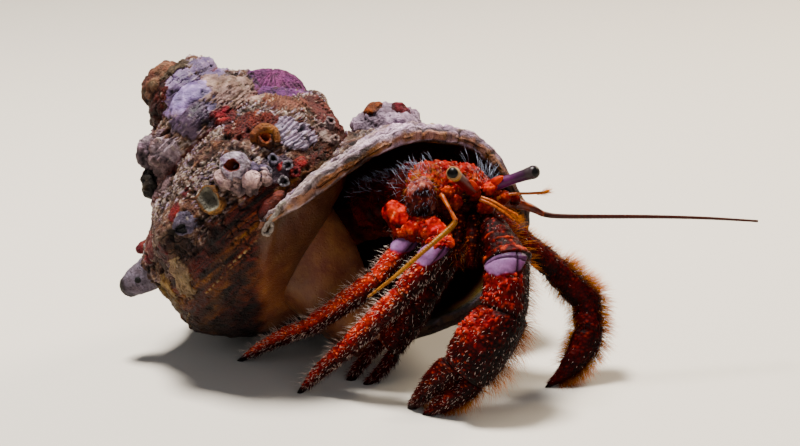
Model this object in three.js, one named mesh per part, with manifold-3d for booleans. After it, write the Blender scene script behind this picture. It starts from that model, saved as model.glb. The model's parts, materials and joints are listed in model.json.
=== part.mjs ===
// A red hermit crab out of its borrowed whelk shell, standing on the floor, at life size.
// Millimetres, +Z up. The animal's head looks towards +X and -Y, and its shell's tip points to -X and up.
// The shell is a right-handed spiral that shrinks by one ratio each turn. Every limb piece is a bowed,
// tapered tube that is mitred where it meets the next one. Solids that touch keep a small gap.
import * as THREE from "three";
import { mergeVertices } from "three/addons/utils/BufferGeometryUtils.js";
import Module from "manifold-3d";

const wasm = await Module();
wasm.setup();

const GAP = 0.36; // between solids that meet
const V = (x, y, z) => new THREE.Vector3(x, y, z);
const smooth = (low, high, x) => THREE.MathUtils.smoothstep(x, low, high);

const finish = (color, roughness) => new THREE.MeshStandardMaterial({ color, roughness, metalness: 0 });
const COLOURS = {
  shell: finish(0x9a8478, 0.85),
  barnacle: finish(0xc9bcae, 0.8),
  armour: finish(0xb5351c, 0.55),
  stalk: finish(0x6a4570, 0.4),
  cornea: finish(0x14100e, 0.1),
  feeler: finish(0xb07a2c, 0.5),
  skin: finish(0x8a4a3c, 0.7),
};

// ---------- solids ----------

// Closes a stack of rings (arrays of points, all the same length) with a fan over each end.
function loft(rings) {
  const sides = rings[0].length;
  const points = rings.flat();
  const centre = (ring) => ring.reduce((sum, p) => sum.add(p), V(0, 0, 0)).divideScalar(sides);
  const first = points.push(centre(rings[0])) - 1;
  const last = points.push(centre(rings.at(-1))) - 1;
  const index = [];
  for (let k = 0; k < rings.length - 1; k++) {
    for (let i = 0; i < sides; i++) {
      const [a, b] = [k * sides + i, k * sides + ((i + 1) % sides)];
      const [c, d] = [a + sides, b + sides];
      const short = points[a].distanceTo(points[d]) < points[b].distanceTo(points[c]);
      index.push(...(short ? [a, b, d, a, d, c] : [a, b, c, b, d, c]));
    }
  }
  const top = (rings.length - 1) * sides;
  for (let i = 0; i < sides; i++) {
    const next = (i + 1) % sides;
    index.push(first, next, i, last, top + i, top + next);
  }
  const geometry = new THREE.BufferGeometry().setFromPoints(points).setIndex(index);
  return volumeOf(geometry) < 0 ? turnedOut(geometry) : geometry;
}

function volumeOf(geometry) {
  const at = geometry.getAttribute("position");
  const corner = (i) => V(0, 0, 0).fromBufferAttribute(at, geometry.index.array[i]);
  let sum = 0;
  for (let i = 0; i < geometry.index.count; i += 3) {
    sum += corner(i).dot(corner(i + 1).cross(corner(i + 2)));
  }
  return sum / 6;
}

function turnedOut(geometry) {
  return geometry.setIndex(Array.from(geometry.index.array).reverse());
}

function solid(geometry) {
  const bare = new THREE.BufferGeometry()
    .setAttribute("position", geometry.getAttribute("position"))
    .setIndex(geometry.index);
  const merged = mergeVertices(bare, 1e-4);
  return new wasm.Manifold(
    new wasm.Mesh({
      numProp: 3,
      vertProperties: new Float32Array(merged.getAttribute("position").array),
      triVerts: new Uint32Array(merged.index.array),
    }),
  );
}

function geometryOf(made) {
  const mesh = made.getMesh();
  const positions = new THREE.BufferAttribute(new Float32Array(mesh.vertProperties), 3);
  return new THREE.BufferGeometry()
    .setAttribute("position", positions)
    .setIndex(new THREE.BufferAttribute(new Uint32Array(mesh.triVerts), 1));
}

// The same body with its surface moved out by a distance, as a cutter that leaves a gap.
function grown(geometry, distance) {
  const body = mergeVertices(geometry.clone(), 1e-4);
  body.computeVertexNormals();
  const [at, normal] = [body.getAttribute("position"), body.getAttribute("normal")];
  for (let i = 0; i < at.count; i++) {
    const p = V(0, 0, 0).fromBufferAttribute(at, i);
    p.addScaledVector(V(0, 0, 0).fromBufferAttribute(normal, i), distance);
    at.setXYZ(i, p.x, p.y, p.z);
  }
  body.deleteAttribute("normal");
  return body;
}

function biggest(made) {
  return made.decompose().reduce((a, b) => (a.volume() > b.volume() ? a : b));
}

const root = new THREE.Group();
const nodes = {};

function add(name, geometry, material) {
  const mesh = new THREE.Mesh(geometry, material);
  mesh.name = name;
  nodes[name] = mesh;
  root.add(mesh);
}

// Cuts the named neighbours out of a node, with a gap, and keeps its largest piece.
function clear(name, ...neighbours) {
  let body = solid(nodes[name].geometry);
  for (const other of neighbours) {
    body = body.subtract(solid(grown(nodes[other].geometry, GAP * 1.3)));
  }
  nodes[name].geometry = geometryOf(biggest(body));
}

// ---------- the shell ----------

const SHELL = {
  tip: V(-52, 25.8, 64.7), // where the spiral would shrink to nothing
  axis: V(0.577, -0.2526, -0.7768).normalize(), // from the tip to the front end
  mouthSide: V(0.817, 0.178, 0.5487), // across the axis, towards the mouth's lip
  turnRatio: 0.6, // size one turn older
  wall: 1.7,
  lipWall: 3.2, // at the edge of the mouth
  spireTurns: -3.1, // the worn tip starts here
  hollowFrom: -0.45, // the open part of the last whorl
  joined: -0.5,
  knobsPerTurn: 8.1,
  knobWidth: 0.034, // in turns
  knobHeight: 3.4,
  split: 48, // where its two solids meet, from the tip
};
SHELL.mouthSide.addScaledVector(SHELL.axis, -SHELL.mouthSide.dot(SHELL.axis)).normalize();
SHELL.nearSide = V(0, 0, 0).crossVectors(SHELL.axis, SHELL.mouthSide);

// Whorl outline from the suture over the shoulder to the base: distance from the axis, distance from the tip.
const OUTLINE = [
  [20.5, 35], [26.5, 39.5], [31, 44], [34, 49.5], [36, 56.5], [36.5, 64], [34.5, 72], [22, 80.5], [6, 83],
];
// The same stations at the lip, which flares, and how far round, in turns, the lip reaches at each.
const LIP = [
  [22.5, 39.8], [25, 40.9], [29.3, 42.9], [35.8, 47.2], [44.6, 57], [46, 70], [42.5, 79.5], [24.5, 86],
  [8, 82],
];
const LIP_REACH = [0.27, 0.18, 0.1, 0.035, 0, -0.01, -0.015, 0, 0.02];
const SHOULDER = 3 / 8; // the knobs' place along the outline

const outlineCurve = new THREE.SplineCurve(OUTLINE.map(([r, h]) => new THREE.Vector2(r, h)));
const lipCurve = new THREE.SplineCurve(LIP.map(([r, h]) => new THREE.Vector2(r, h)));
const reachCurve = new THREE.SplineCurve(LIP_REACH.map((t, i) => new THREE.Vector2(i, t)));

function spiralPoint(turn, radius, along) {
  const size = SHELL.turnRatio ** -turn;
  const angle = 2 * Math.PI * turn;
  return SHELL.tip
    .clone()
    .addScaledVector(SHELL.axis, size * along)
    .addScaledVector(SHELL.mouthSide, size * radius * Math.cos(angle))
    .addScaledVector(SHELL.nearSide, size * radius * Math.sin(angle));
}

// The outline at a place round the spiral: it eases into the lip, and a low knob stands on every eighth
// of a turn.
function whorlProfile(turn, share) {
  const p = outlineCurve.getPoint(share).lerp(lipCurve.getPoint(share), smooth(-0.3, 0.02, turn));
  const step = 1 / SHELL.knobsPerTurn;
  const nearest = Math.round((turn + 0.5) / step) * step - 0.5;
  const round = ((turn - nearest) / SHELL.knobWidth) ** 2;
  const height = nearest < -0.04 ? SHELL.knobHeight : 0;
  p.x += height * Math.exp(-round - ((share - SHOULDER) / 0.1) ** 2);
  return p;
}

// A length of whorl: its outline, closed beside the axis.
function whorl(from, to, steps, stations) {
  const rings = [];
  for (let k = 0; k <= steps; k++) {
    const ring = [];
    for (let i = 0; i <= stations; i++) {
      const share = i / stations;
      const end = to === "lip" ? reachCurve.getPoint(share).y : to;
      const turn = from + ((end - from) * k) / steps;
      const p = whorlProfile(turn, share);
      ring.push(spiralPoint(turn, p.x, p.y));
    }
    const end = to === "lip" ? LIP_REACH.at(-1) : to;
    const turn = from + ((end - from) * k) / steps;
    const foot = to === "lip" ? 76 : 80;
    ring.push(spiralPoint(turn, 1.2, foot), spiralPoint(turn, 1.2, 48));
    rings.push(ring);
  }
  return solid(loft(rings));
}

// The room inside the last whorl, one wall in from its outline and clear of the columella.
function hollow() {
  const COLUMELLA = [[9, 80], [9.5, 70], [11, 60], [15, 52.5], [19, 46.5]];
  const stations = 12;
  const steps = 12;
  const rings = [];
  for (let k = 0; k <= steps; k++) {
    const ring = [];
    for (let i = 1; i < stations; i++) {
      const share = i / stations;
      const end = reachCurve.getPoint(share).y + 0.05;
      const turn = SHELL.hollowFrom + ((end - SHELL.hollowFrom) * k) / steps;
      const flare = smooth(-0.3, 0.02, turn);
      const p = outlineCurve.getPoint(share).lerp(lipCurve.getPoint(share), flare);
      const along = outlineCurve.getTangent(share).lerp(lipCurve.getTangent(share), flare).normalize();
      const thin = SHELL.wall * SHELL.turnRatio ** turn;
      const wall = THREE.MathUtils.lerp(thin, SHELL.lipWall, smooth(-0.07, 0.02, turn));
      ring.push(spiralPoint(turn, p.x - along.y * wall, p.y + along.x * wall));
    }
    for (const [i, [radius, height]] of COLUMELLA.entries()) {
      const end = THREE.MathUtils.lerp(0.1, 0.32, i / (COLUMELLA.length - 1));
      const turn = SHELL.hollowFrom + ((end - SHELL.hollowFrom) * k) / steps;
      ring.push(spiralPoint(turn, radius, height));
    }
    rings.push(ring);
  }
  return solid(loft(rings));
}

function strip(geometry) {
  geometry.deleteAttribute("normal");
  geometry.deleteAttribute("uv");
  return geometry;
}

// A rounded lump, as of old lime growth: a ball stretched along three axes.
function lump(at, [x, y, z], detail = 1) {
  const ball = mergeVertices(strip(new THREE.IcosahedronGeometry(1, detail)), 1e-4);
  return ball
    .applyMatrix4(new THREE.Matrix4().makeScale(x, y, z))
    .applyMatrix4(new THREE.Matrix4().makeTranslation(at.x, at.y, at.z));
}

// A straight round body whose radius changes along it: [share of the length, radius] pairs.
function turned(from, to, sizes, sides = 8) {
  const along = to.clone().sub(from);
  const length = along.length();
  const profile = sizes.map(([share, radius]) => new THREE.Vector2(radius, share * length));
  const turn = new THREE.Quaternion().setFromUnitVectors(V(0, 1, 0), along.normalize());
  const points = [new THREE.Vector2(0, profile[0].y), ...profile, new THREE.Vector2(0, profile.at(-1).y)];
  return new THREE.LatheGeometry(points, sides).applyQuaternion(turn).translate(from.x, from.y, from.z);
}

// Blunt spines: root and point as [turn, distance from the axis, distance from the tip], then two radii.
const SPINES = [
  { root: [-0.5, 30, 52], point: [-0.5, 45.5, 50.8], radii: [4, 1.5] },
  { root: [-0.5, 28, 46], point: [-0.5, 34.5, 44.8], radii: [2, 0.7] },
  { root: [-0.1, 29, 46], point: [-0.1, 40.5, 38], radii: [6, 1.8] },
  { root: [-0.07, 33, 47], point: [-0.07, 40.4, 40.8], radii: [5, 1.6] },
];
// Lumps of old growth: [turn, distance from the axis, distance from the tip], then the radius.
const LUMPS = [
  { at: [-1.08, 25, 40], radius: 6.3 }, // ribbed purple knob behind the spire
  { at: [-1.5, 25, 43.5], radius: 4.3 },
  { at: [-1.5, 32, 54.5], radius: 3.4 },
];
const WORN_TIP = V(-47.8, 22, 54.5);
const HIGH_BARNACLE = [V(-26.6, -0.3, 49.4), V(-26.1, -2.8, 52.2)]; // one with the shell: root and top
const FOOT = { turn: -0.37, radius: 33, along: 71, size: 4 }; // the lump it stands on

function shell() {
  const spire = whorl(SHELL.spireTurns, -2.3, 7, 6)
    .add(whorl(-2.32, -1.45, 10, 8))
    .add(whorl(-1.47, SHELL.hollowFrom, 26, 11));
  const columella = turned(
    spiralPoint(0, 0, 44),
    spiralPoint(0, 0, 79),
    [[0, 9], [0.2, 10.5], [0.45, 9.8], [0.7, 7.5], [0.9, 5], [1, 3]],
    12,
  );
  let body = whorl(SHELL.joined, "lip", 19, 13).subtract(hollow());
  body = body.add(spire).add(solid(columella)).add(solid(lump(WORN_TIP, [6, 5.8, 6.6])));
  for (const { root: from, point, radii } of SPINES) {
    const sizes = [[0, radii[0]], [0.75, (radii[0] + radii[1]) / 2], [0.95, radii[1]], [1, radii[1] * 0.5]];
    body = body.add(solid(turned(spiralPoint(...from), spiralPoint(...point), sizes)));
  }
  for (const { at, radius } of LUMPS) {
    body = body.add(solid(lump(spiralPoint(...at), [radius, radius, radius])));
  }
  body = body.add(solid(turned(...HIGH_BARNACLE, [[0, 2.5], [0.6, 2.1], [1, 1.7]])));
  const stand = spiralPoint(FOOT.turn, FOOT.radius, FOOT.along);
  body = body.add(solid(lump(V(stand.x, stand.y, 2), [FOOT.size, FOOT.size, 3])));
  return body.subtract(beyond(V(0, 0, 0), V(0, 0, -1)));
}

// All the room on the far side of a plane, as a cutter.
function beyond(at, outward) {
  const reach = 200;
  const turn = new THREE.Quaternion().setFromUnitVectors(V(0, 0, 1), outward);
  const middle = at.clone().addScaledVector(outward, reach / 2);
  const block = mergeVertices(strip(new THREE.BoxGeometry(reach, reach, reach)), 1e-4);
  return solid(block.applyQuaternion(turn).translate(middle.x, middle.y, middle.z));
}

// The shell is two solids that meet in a plane square to its axis.
const whole = shell();
const spireEnd = spiralPoint(0, 0, SHELL.split - GAP / 2);
const mouthStart = spiralPoint(0, 0, SHELL.split + GAP / 2);
const spirePart = biggest(whole.subtract(beyond(spireEnd, SHELL.axis)));
const mouthPart = biggest(whole.subtract(beyond(mouthStart, SHELL.axis.clone().negate())));
add("shellSpire", geometryOf(spirePart), COLOURS.shell);
add("shellMouth", geometryOf(mouthPart), COLOURS.shell);

// Growths on the shell: a cone with a hollow top, pushed into the surface and trimmed clear of it.
function barnacle(name, at, out, radius, height, mouth) {
  const from = at.clone().addScaledVector(out, -1.2);
  const to = at.clone().addScaledVector(out, height);
  const wall = [[0, radius], [0.6, radius * 0.85], [1, mouth + 0.5]];
  const inner = to.clone().addScaledVector(out, -height * 0.6);
  const past = to.clone().addScaledVector(out, 0.5);
  const room = turned(inner, past, [[0, mouth * 0.4], [1, mouth]], 7);
  const cup = solid(turned(from, to, wall)).subtract(solid(room));
  add(name, geometryOf(cup), COLOURS.barnacle);
  clear(name, "shellSpire", "shellMouth");
}

barnacle("barnacleCup", V(-36, -7.4, 39.9), V(-0.24, -0.92, 0.3).normalize(), 2.9, 2.2, 1.7);
barnacle("barnacleUpper", V(-32.4, -6.8, 45.4), V(-0.07, -0.88, 0.48).normalize(), 2.5, 3.2, 1.1);
barnacle("barnacleLower", V(-29, -7.4, 42.3), V(0.15, -0.96, 0.25).normalize(), 2.2, 2.9, 1.2);

// ---------- the animal ----------

const BODY_RIGHT = V(-0.55, -0.83, 0).normalize();

// A tapered tube between two joints. Its end faces lie in the given planes, so two pieces meet in a mitre.
// Sizes are half widths across the bend and in its plane, at the start, middle and end of the piece.
function tube(from, to, piece, across, startPlane, endPlane, gaps) {
  const { wide, deep, bow = 0, sides = 8, rings = 4 } = piece;
  const along = to.clone().sub(from).normalize();
  const side = across.clone().addScaledVector(along, -across.dot(along)).normalize();
  const up = V(0, 0, 0).crossVectors(side, along);
  const reach = (p, joint, plane) => joint.clone().sub(p).dot(plane) / along.dot(plane);
  const stack = [];
  for (let k = 0; k <= rings; k++) {
    const s = k / rings;
    const ring = [];
    for (let i = 0; i < sides; i++) {
      const angle = (2 * Math.PI * (i + 0.5)) / sides;
      const offset = side.clone().multiplyScalar(through(wide, s) * Math.cos(angle));
      offset.addScaledVector(up, through(deep, s) * Math.sin(angle));
      const low = from.clone().add(offset);
      const a = reach(low, from, startPlane) + gaps[0] / Math.abs(along.dot(startPlane));
      const b = reach(low, to, endPlane) - gaps[1] / Math.abs(along.dot(endPlane));
      offset.addScaledVector(up, bow * Math.sin(Math.PI * s));
      ring.push(from.clone().add(offset).addScaledVector(along, a + (b - a) * s));
    }
    stack.push(ring);
  }
  return loft(stack);
}

// A smooth run through three sizes.
function through([a, b, c], s) {
  const pull = 2 * b - (a + c) / 2;
  return a * (1 - s) ** 2 + 2 * pull * s * (1 - s) + c * s ** 2;
}

// Pieces of a limb along its joints. The last end face lies in the given plane, or square to the piece.
function limb(prefix, joints, pieces, lastPlane = null) {
  const directions = joints.slice(1).map((p, i) => p.clone().sub(joints[i]).normalize());
  const across = V(0, 0, 0);
  directions.slice(1).forEach((dir, i) => across.add(V(0, 0, 0).crossVectors(directions[i], dir)));
  across.normalize();
  for (const [i, piece] of pieces.entries()) {
    const along = directions[i];
    const next = directions[i + 1];
    const start = i === 0 ? along : along.clone().add(directions[i - 1]).normalize();
    const end = next ? along.clone().add(next).normalize() : (lastPlane ?? along);
    const gaps = [i === 0 ? 0 : GAP / 2, next ? GAP / 2 : 0];
    const geometry = tube(joints[i], joints[i + 1], piece, across, start, end, gaps);
    add(prefix + piece.name, geometry, piece.material ?? COLOURS.armour);
  }
}

// A body through [place, half width, half height], with its rings square to the line of places.
function hull(places, sides = 12) {
  const rings = places.map(([at, wide, high], k) => {
    const before = places[Math.max(k - 1, 0)][0];
    const after = places[Math.min(k + 1, places.length - 1)][0];
    const along = after.clone().sub(before).normalize();
    const up = V(0, 0, 0).crossVectors(BODY_RIGHT, along).normalize();
    const side = V(0, 0, 0).crossVectors(along, up).normalize();
    return Array.from({ length: sides }, (_, i) => {
      const angle = (2 * Math.PI * i) / sides;
      return at
        .clone()
        .addScaledVector(side, wide * Math.cos(angle))
        .addScaledVector(up, high * Math.sin(angle));
    });
  });
  return loft(rings);
}

const FLOOR = V(0, 0, 1);
const scaled = (sizes, by) => sizes.map((v) => v * by);
const piece = (name, wide, deep, more = {}) => ({ name, wide, deep, ...more });

// The head shield, then the body behind it, then the soft abdomen that holds the inside of the shell.
add("headShield", hull([
  [V(17.6, -2.6, 41.2), 2.6, 1.2],
  [V(15.6, -1.6, 40.6), 4.6, 3.6],
  [V(12.3, 0.2, 39.6), 6.4, 5.4],
  [V(8.6, 2.2, 38.4), 7.3, 6.4],
  [V(5, 4.2, 37.2), 7.4, 6.6],
]), COLOURS.armour);
add("rearCarapace", hull([
  [V(4.7, 4.4, 37.1), 7.4, 6.6],
  [V(1, 6.6, 35.8), 7.2, 6.6],
  [V(-3, 9.2, 34.2), 6.3, 5.9],
  [V(-7, 12, 32.6), 5.2, 5],
]), COLOURS.armour);
const abdomen = [];
for (let k = 0; k <= 6; k++) {
  const turn = THREE.MathUtils.lerp(-0.035, -0.4, k / 6);
  abdomen.push([spiralPoint(turn, 22.5, 60), 6.6 - 2.6 * (k / 6), 6.2 - 2.4 * (k / 6)]);
}
add("abdomen", hull(abdomen), COLOURS.skin);
clear("abdomen", "rearCarapace", "shellSpire", "shellMouth");
clear("rearCarapace", "headShield");

// Eyes on their stalks, with the small scales at their feet.
const STALK = { wide: [1.25, 1.05, 1.2], deep: [1.25, 1.05, 1.2], sides: 8, rings: 3 };
function eye(side, foot, head) {
  const along = head.clone().sub(foot).normalize();
  const stalkEnd = head.clone().addScaledVector(along, -2.2);
  add("eyestalk" + side, tube(foot, stalkEnd, STALK, FLOOR, along, along, [0, 0]), COLOURS.stalk);
  const base = stalkEnd.clone().addScaledVector(along, 0.3);
  const dome = [[0, 1.25], [0.35, 1.35], [0.7, 1.15], [0.92, 0.65], [1, 0.25]];
  add("cornea" + side, turned(base, head, dome, 10), COLOURS.cornea);
}
eye("Right", V(14, -5.4, 41.4), V(9.6, -12, 47.2));
eye("Left", V(18.4, -2.8, 41.5), V(27.2, -5.1, 45.3));
const RIGHT_SCALE = [V(14.6, -5, 41.2), V(13.6, -7.6, 44)];
const LEFT_SCALE = [V(17.6, -3, 41.4), V(20.2, -4.6, 43.9)];
add("ocularScaleRight", turned(...RIGHT_SCALE, [[0, 1.1], [0.5, 0.9], [1, 0.35]], 6), COLOURS.armour);
add("ocularScaleLeft", turned(...LEFT_SCALE, [[0, 1.1], [0.5, 0.9], [1, 0.35]], 6), COLOURS.armour);

// Feelers: a stout stem and a whip each, and two small branching ones between the eyes.
const whip = (name, sizes) => piece(name, sizes, sizes, { rings: 3, sides: 6, material: COLOURS.feeler });
const RIGHT_FEELER = [
  V(8.2, -5, 40.2), V(9.5, -9, 38.8), V(10.8, -11, 36.8), V(4.6, -15, 32), V(-6.1, -18, 23.7),
];
const LEFT_FEELER = [
  V(18.6, -2.4, 38.6), V(24.2, -1, 37), V(28.6, 0, 34.7), V(50, 3.8, 32.9), V(73.2, 8, 30.6),
];
limb("antennaRight", RIGHT_FEELER, [
  piece("Stem", [1.4, 1.3, 1.1], [1.4, 1.3, 1.1], { rings: 2, sides: 7 }),
  piece("Elbow", [0.9, 0.85, 0.8], [0.9, 0.85, 0.8], { rings: 2, sides: 7 }),
  whip("WhipNear", [0.7, 0.6, 0.55]),
  whip("WhipFar", [0.55, 0.45, 0.3]),
]);
limb("antennaLeft", LEFT_FEELER, [
  piece("Stem", [1.5, 1.5, 1.2], [1.5, 1.5, 1.2], { rings: 2, sides: 7 }),
  piece("Elbow", [1.1, 1, 0.75], [1.1, 1, 0.75], { rings: 2, sides: 7 }),
  whip("WhipNear", [0.6, 0.45, 0.38]),
  whip("WhipFar", [0.38, 0.32, 0.26]),
]);
const SMALL = { wide: [0.6, 0.45, 0.4], deep: [0.6, 0.45, 0.4], sides: 6, rings: 3 };
function smallFeeler(name, from, to) {
  const along = to.clone().sub(from).normalize();
  add(name, tube(from, to, SMALL, FLOOR, along, along, [0, 0]), COLOURS.feeler);
}
smallFeeler("antennuleLeft", V(19, -4.6, 39.4), V(28.8, -5.4, 40.9));
smallFeeler("antennuleRight", V(15.6, -5.4, 39.4), V(22.4, -9.2, 36.8));

// Mouth limbs that hang under the head.
const mouthPieces = [
  piece("Upper", [1.6, 1.5, 1.2], [1.6, 1.5, 1.2], { rings: 3 }),
  piece("Lower", [1.1, 0.95, 0.5], [1.1, 0.95, 0.5], { rings: 3 }),
];
limb("mouthLimbRight", [V(12, -3.4, 35.4), V(11.1, -7, 30.6), V(11.5, -8.6, 26.6)], mouthPieces);
limb("mouthLimbLeft", [V(14.9, -4.2, 35.4), V(14.3, -8.2, 30.8), V(14, -9.8, 27.2)], mouthPieces);

// Walking legs.
const walking = (by, bow) => [
  piece("Ischium", scaled([2.2, 2.5, 2.5], by), scaled([2.3, 2.6, 2.6], by), { rings: 2 }),
  piece("Merus", scaled([2.4, 2.6, 2.5], by), scaled([2.6, 3, 2.7], by)),
  piece("Carpus", scaled([2.3, 2.6, 2.3], by), scaled([2.4, 2.7, 2.4], by)),
  piece("Propodus", scaled([2.2, 2.3, 1.9], by), scaled([2.4, 2.5, 2], by)),
  piece("Dactyl", scaled([1.8, 1.55, 0.5], by), scaled([1.95, 1.7, 0.5], by), { bow }),
];
const LEGS = {
  legRightRear: [V(6, 13.5, 31), V(-1.4, 10, 32.4), V(1.8, -3, 29.6), V(-4.4, -6, 22.9), V(-18.3, -1, 11.1),
    V(-33.5, 7.4, 0)],
  legRightFront: [V(11, 6, 31), V(5.2, 3, 33.4), V(7.4, -10, 30.5), V(0.6, -13, 22.5), V(-9.9, -11, 11),
    V(-20.1, -9.4, 0)],
  legLeftFront: [V(17, 3.5, 34), V(23.3, 2, 29.3), V(31.4, 2.6, 22.3), V(38, 2, 15.5), V(38.3, -1, 10.2),
    V(29.9, -6.4, 0)],
  legLeftRear: [V(12, 8, 30), V(17, 6, 27.3), V(21.4, 3.4, 24), V(21.6, 1.6, 16.8), V(20.2, 3, 8.6),
    V(18.6, 7.6, 0)],
};
limb("legRightRear", LEGS.legRightRear, walking(0.92, 0.7), FLOOR);
limb("legRightFront", LEGS.legRightFront, walking(0.98, 0.7), FLOOR);
limb("legLeftFront", LEGS.legLeftFront, [
  piece("Ischium", [2.2, 2.3, 2.2], [2.3, 2.4, 2.3], { rings: 2 }),
  piece("Merus", [2.2, 2.4, 2.4], [2.3, 2.5, 2.5]),
  piece("Carpus", [2.4, 2.6, 2.7], [2.5, 2.9, 2.9], { rings: 3 }),
  piece("Propodus", [2.6, 2.6, 2.5], [2.9, 2.9, 2.8], { rings: 2 }),
  piece("Dactyl", [2.4, 2, 0.45], [2.7, 2.3, 0.45], { bow: -1.6 }),
], FLOOR);
limb("legLeftRear", LEGS.legLeftRear, walking(0.85, 0.4), FLOOR);

// Claws: the left one is much the larger. Both palms end in the same plane, where the fingers start.
const CLAW_END = V(-0.6, -0.1, -0.79).normalize();
limb("clawLeft", [V(15, 0, 33.5), V(18.2, -6, 33.4), V(20.9, -14, 29.4), V(20, -18, 20.4), V(12.4, -20, 9)], [
  piece("Ischium", [2.5, 2.8, 2.9], [2.5, 2.8, 2.9], { rings: 2 }),
  piece("Merus", [3, 3.6, 3.9], [3, 3.6, 3.8]),
  piece("Carpus", [4.1, 4.5, 4.3], [4, 4.4, 4.2]),
  piece("Palm", [4.5, 5.3, 4.4], [4.7, 5.9, 5.2]),
], CLAW_END);
limb("clawRight", [V(13, 3, 31), V(11.8, -1, 29.2), V(9.6, -3, 26.4), V(6, -2, 20.3), V(-2.2, -2, 7)], [
  piece("Ischium", [1.7, 1.9, 1.9], [1.7, 1.9, 1.9], { rings: 2 }),
  piece("Merus", [2, 2.3, 2.3], [2, 2.3, 2.3], { rings: 3 }),
  piece("Carpus", [2.4, 2.7, 2.7], [2.4, 2.9, 2.8]),
  piece("Palm", [2.8, 3.3, 2.7], [3, 4.2, 3.3]),
], CLAW_END);

// A finger: a horn from the palm's end face to a flat tip on the floor. It starts to one side of the
// palm's middle.
function finger(name, palmEnd, aside, to, size, bow) {
  const across = V(0, 1, 0);
  const from = V(0, 0, 0).crossVectors(across, CLAW_END).setLength(aside).add(palmEnd);
  const shape = { wide: [size, size * 0.85, 0.8], deep: [size * 0.9, size * 0.75, 0.8], bow };
  add(name, tube(from, to, shape, across, CLAW_END, FLOOR, [GAP, 0]), COLOURS.armour);
}
finger("clawLeftFixedFinger", V(12.4, -20, 9), -2.7, V(6.4, -20.2, 0), 2.6, -0.4);
finger("clawLeftMovingFinger", V(12.4, -19.4, 9), 2.8, V(1.4, -16.4, 0), 2.5, 0.5);
finger("clawRightFixedFinger", V(-2.2, -2, 7), -1.7, V(-6.4, -4.6, 0), 1.5, -0.3);
finger("clawRightMovingFinger", V(-2.2, -1.8, 7), 1.9, V(-10, -2.6, 0), 1.5, 0.4);

// Trims, so that no two solids meet: the body gives way to the legs before it, and small parts to the body.
clear("rearCarapace", "shellSpire", "shellMouth", "legRightRearMerus", "legRightFrontMerus");
clear("barnacleLower", "barnacleUpper");
clear("headShield", "legRightFrontMerus");
for (const side of ["Right", "Left"]) {
  clear("eyestalk" + side, "headShield");
  clear("ocularScale" + side, "headShield", "eyestalk" + side);
  clear("antenna" + side + "Stem", "headShield");
  clear("antennule" + side, "headShield", "antenna" + side + "Stem");
  clear("mouthLimb" + side + "Upper", "headShield");
  clear("claw" + side + "Ischium", "headShield", "mouthLimb" + side + "Upper");
}
for (const leg of Object.keys(LEGS)) {
  clear(leg + "Ischium", "headShield", "rearCarapace");
}
clear("legLeftFrontIschium", "clawLeftIschium");
clear("mouthLimbLeftUpper", "mouthLimbRightUpper", "clawLeftMerus");

root.updateMatrixWorld(true);
const box = new THREE.Box3().setFromObject(root, true);
const middle = box.getCenter(V(0, 0, 0));
root.children.forEach((mesh) => mesh.geometry.translate(-middle.x, -middle.y, -box.min.z));

export default root;
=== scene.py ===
import json
import math
import bpy
import numpy as np
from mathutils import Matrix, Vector

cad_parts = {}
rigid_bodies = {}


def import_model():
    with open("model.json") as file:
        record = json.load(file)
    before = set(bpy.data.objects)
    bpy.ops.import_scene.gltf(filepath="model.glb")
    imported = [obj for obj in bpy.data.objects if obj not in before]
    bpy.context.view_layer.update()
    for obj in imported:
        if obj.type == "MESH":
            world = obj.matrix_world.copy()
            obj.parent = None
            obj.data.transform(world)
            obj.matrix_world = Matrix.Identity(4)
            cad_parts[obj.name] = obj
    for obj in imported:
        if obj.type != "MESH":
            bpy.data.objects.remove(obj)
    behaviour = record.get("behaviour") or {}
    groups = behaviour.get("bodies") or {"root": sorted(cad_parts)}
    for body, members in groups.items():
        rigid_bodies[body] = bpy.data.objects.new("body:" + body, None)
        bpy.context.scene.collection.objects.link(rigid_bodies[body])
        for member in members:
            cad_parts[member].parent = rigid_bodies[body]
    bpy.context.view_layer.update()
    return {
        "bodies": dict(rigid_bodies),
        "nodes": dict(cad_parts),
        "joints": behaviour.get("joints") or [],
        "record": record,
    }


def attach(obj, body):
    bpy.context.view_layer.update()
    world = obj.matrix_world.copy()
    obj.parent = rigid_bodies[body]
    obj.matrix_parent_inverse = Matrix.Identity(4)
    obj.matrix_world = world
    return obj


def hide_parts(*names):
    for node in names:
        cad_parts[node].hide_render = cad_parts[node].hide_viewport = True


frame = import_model()

# Shapes below are worked out in the maker's millimetres; this is the row frame's origin in them.
rowOrigin = np.array([6.697, 10.686, 0.0])


# Millimetres from the maker's origin to metres from the row's: less the origin, over 1000.
def toRow(points):
    return (np.asarray(points, float) - rowOrigin) / 1000


# Rises from 0 to 1 between low and high as three squares less two cubes.
def ease(low, high, x):
    t = np.clip((x - low) / (high - low), 0, 1)
    return t * t * (3 - 2 * t)


# A bell curve: e to the minus square of the distance from the middle over the width.
def bell(x, middle, width):
    return np.exp(-(((x - middle) / width) ** 2))


# a plus t times the step from a to b.
def mix(a, b, t):
    return a + (b - a) * t


# Vectors or colours times an amount at each point.
def scaled(v, amount):
    return v * amount[..., None]


# A web colour as the light values that shaders use: a small part is divided by 12.92, and a larger one has 0.055
# added, is divided by 1.055 and raised to the power 2.4.
def paint(code):
    v = np.array([int(code[k : k + 2], 16) for k in (1, 3, 5)]) / 255
    return np.where(v > 0.04045, ((v + 0.055) / 1.055) ** 2.4, v / 12.92)


# Vectors or colours moved towards others, or towards a web colour, by an amount at each point.
def laidOver(v, other, amount):
    return v + scaled((paint(other) if isinstance(other, str) else other) - v, amount)


# Three arrays or numbers side by side as places.
def placed(x, y, z):
    return np.stack(np.broadcast_arrays(x, y, z), -1)


# A vector over its own length.
def unit(v):
    v = np.asarray(v, float)
    return v / np.maximum(np.linalg.norm(v, axis=-1, keepdims=True), 1e-12)


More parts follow.
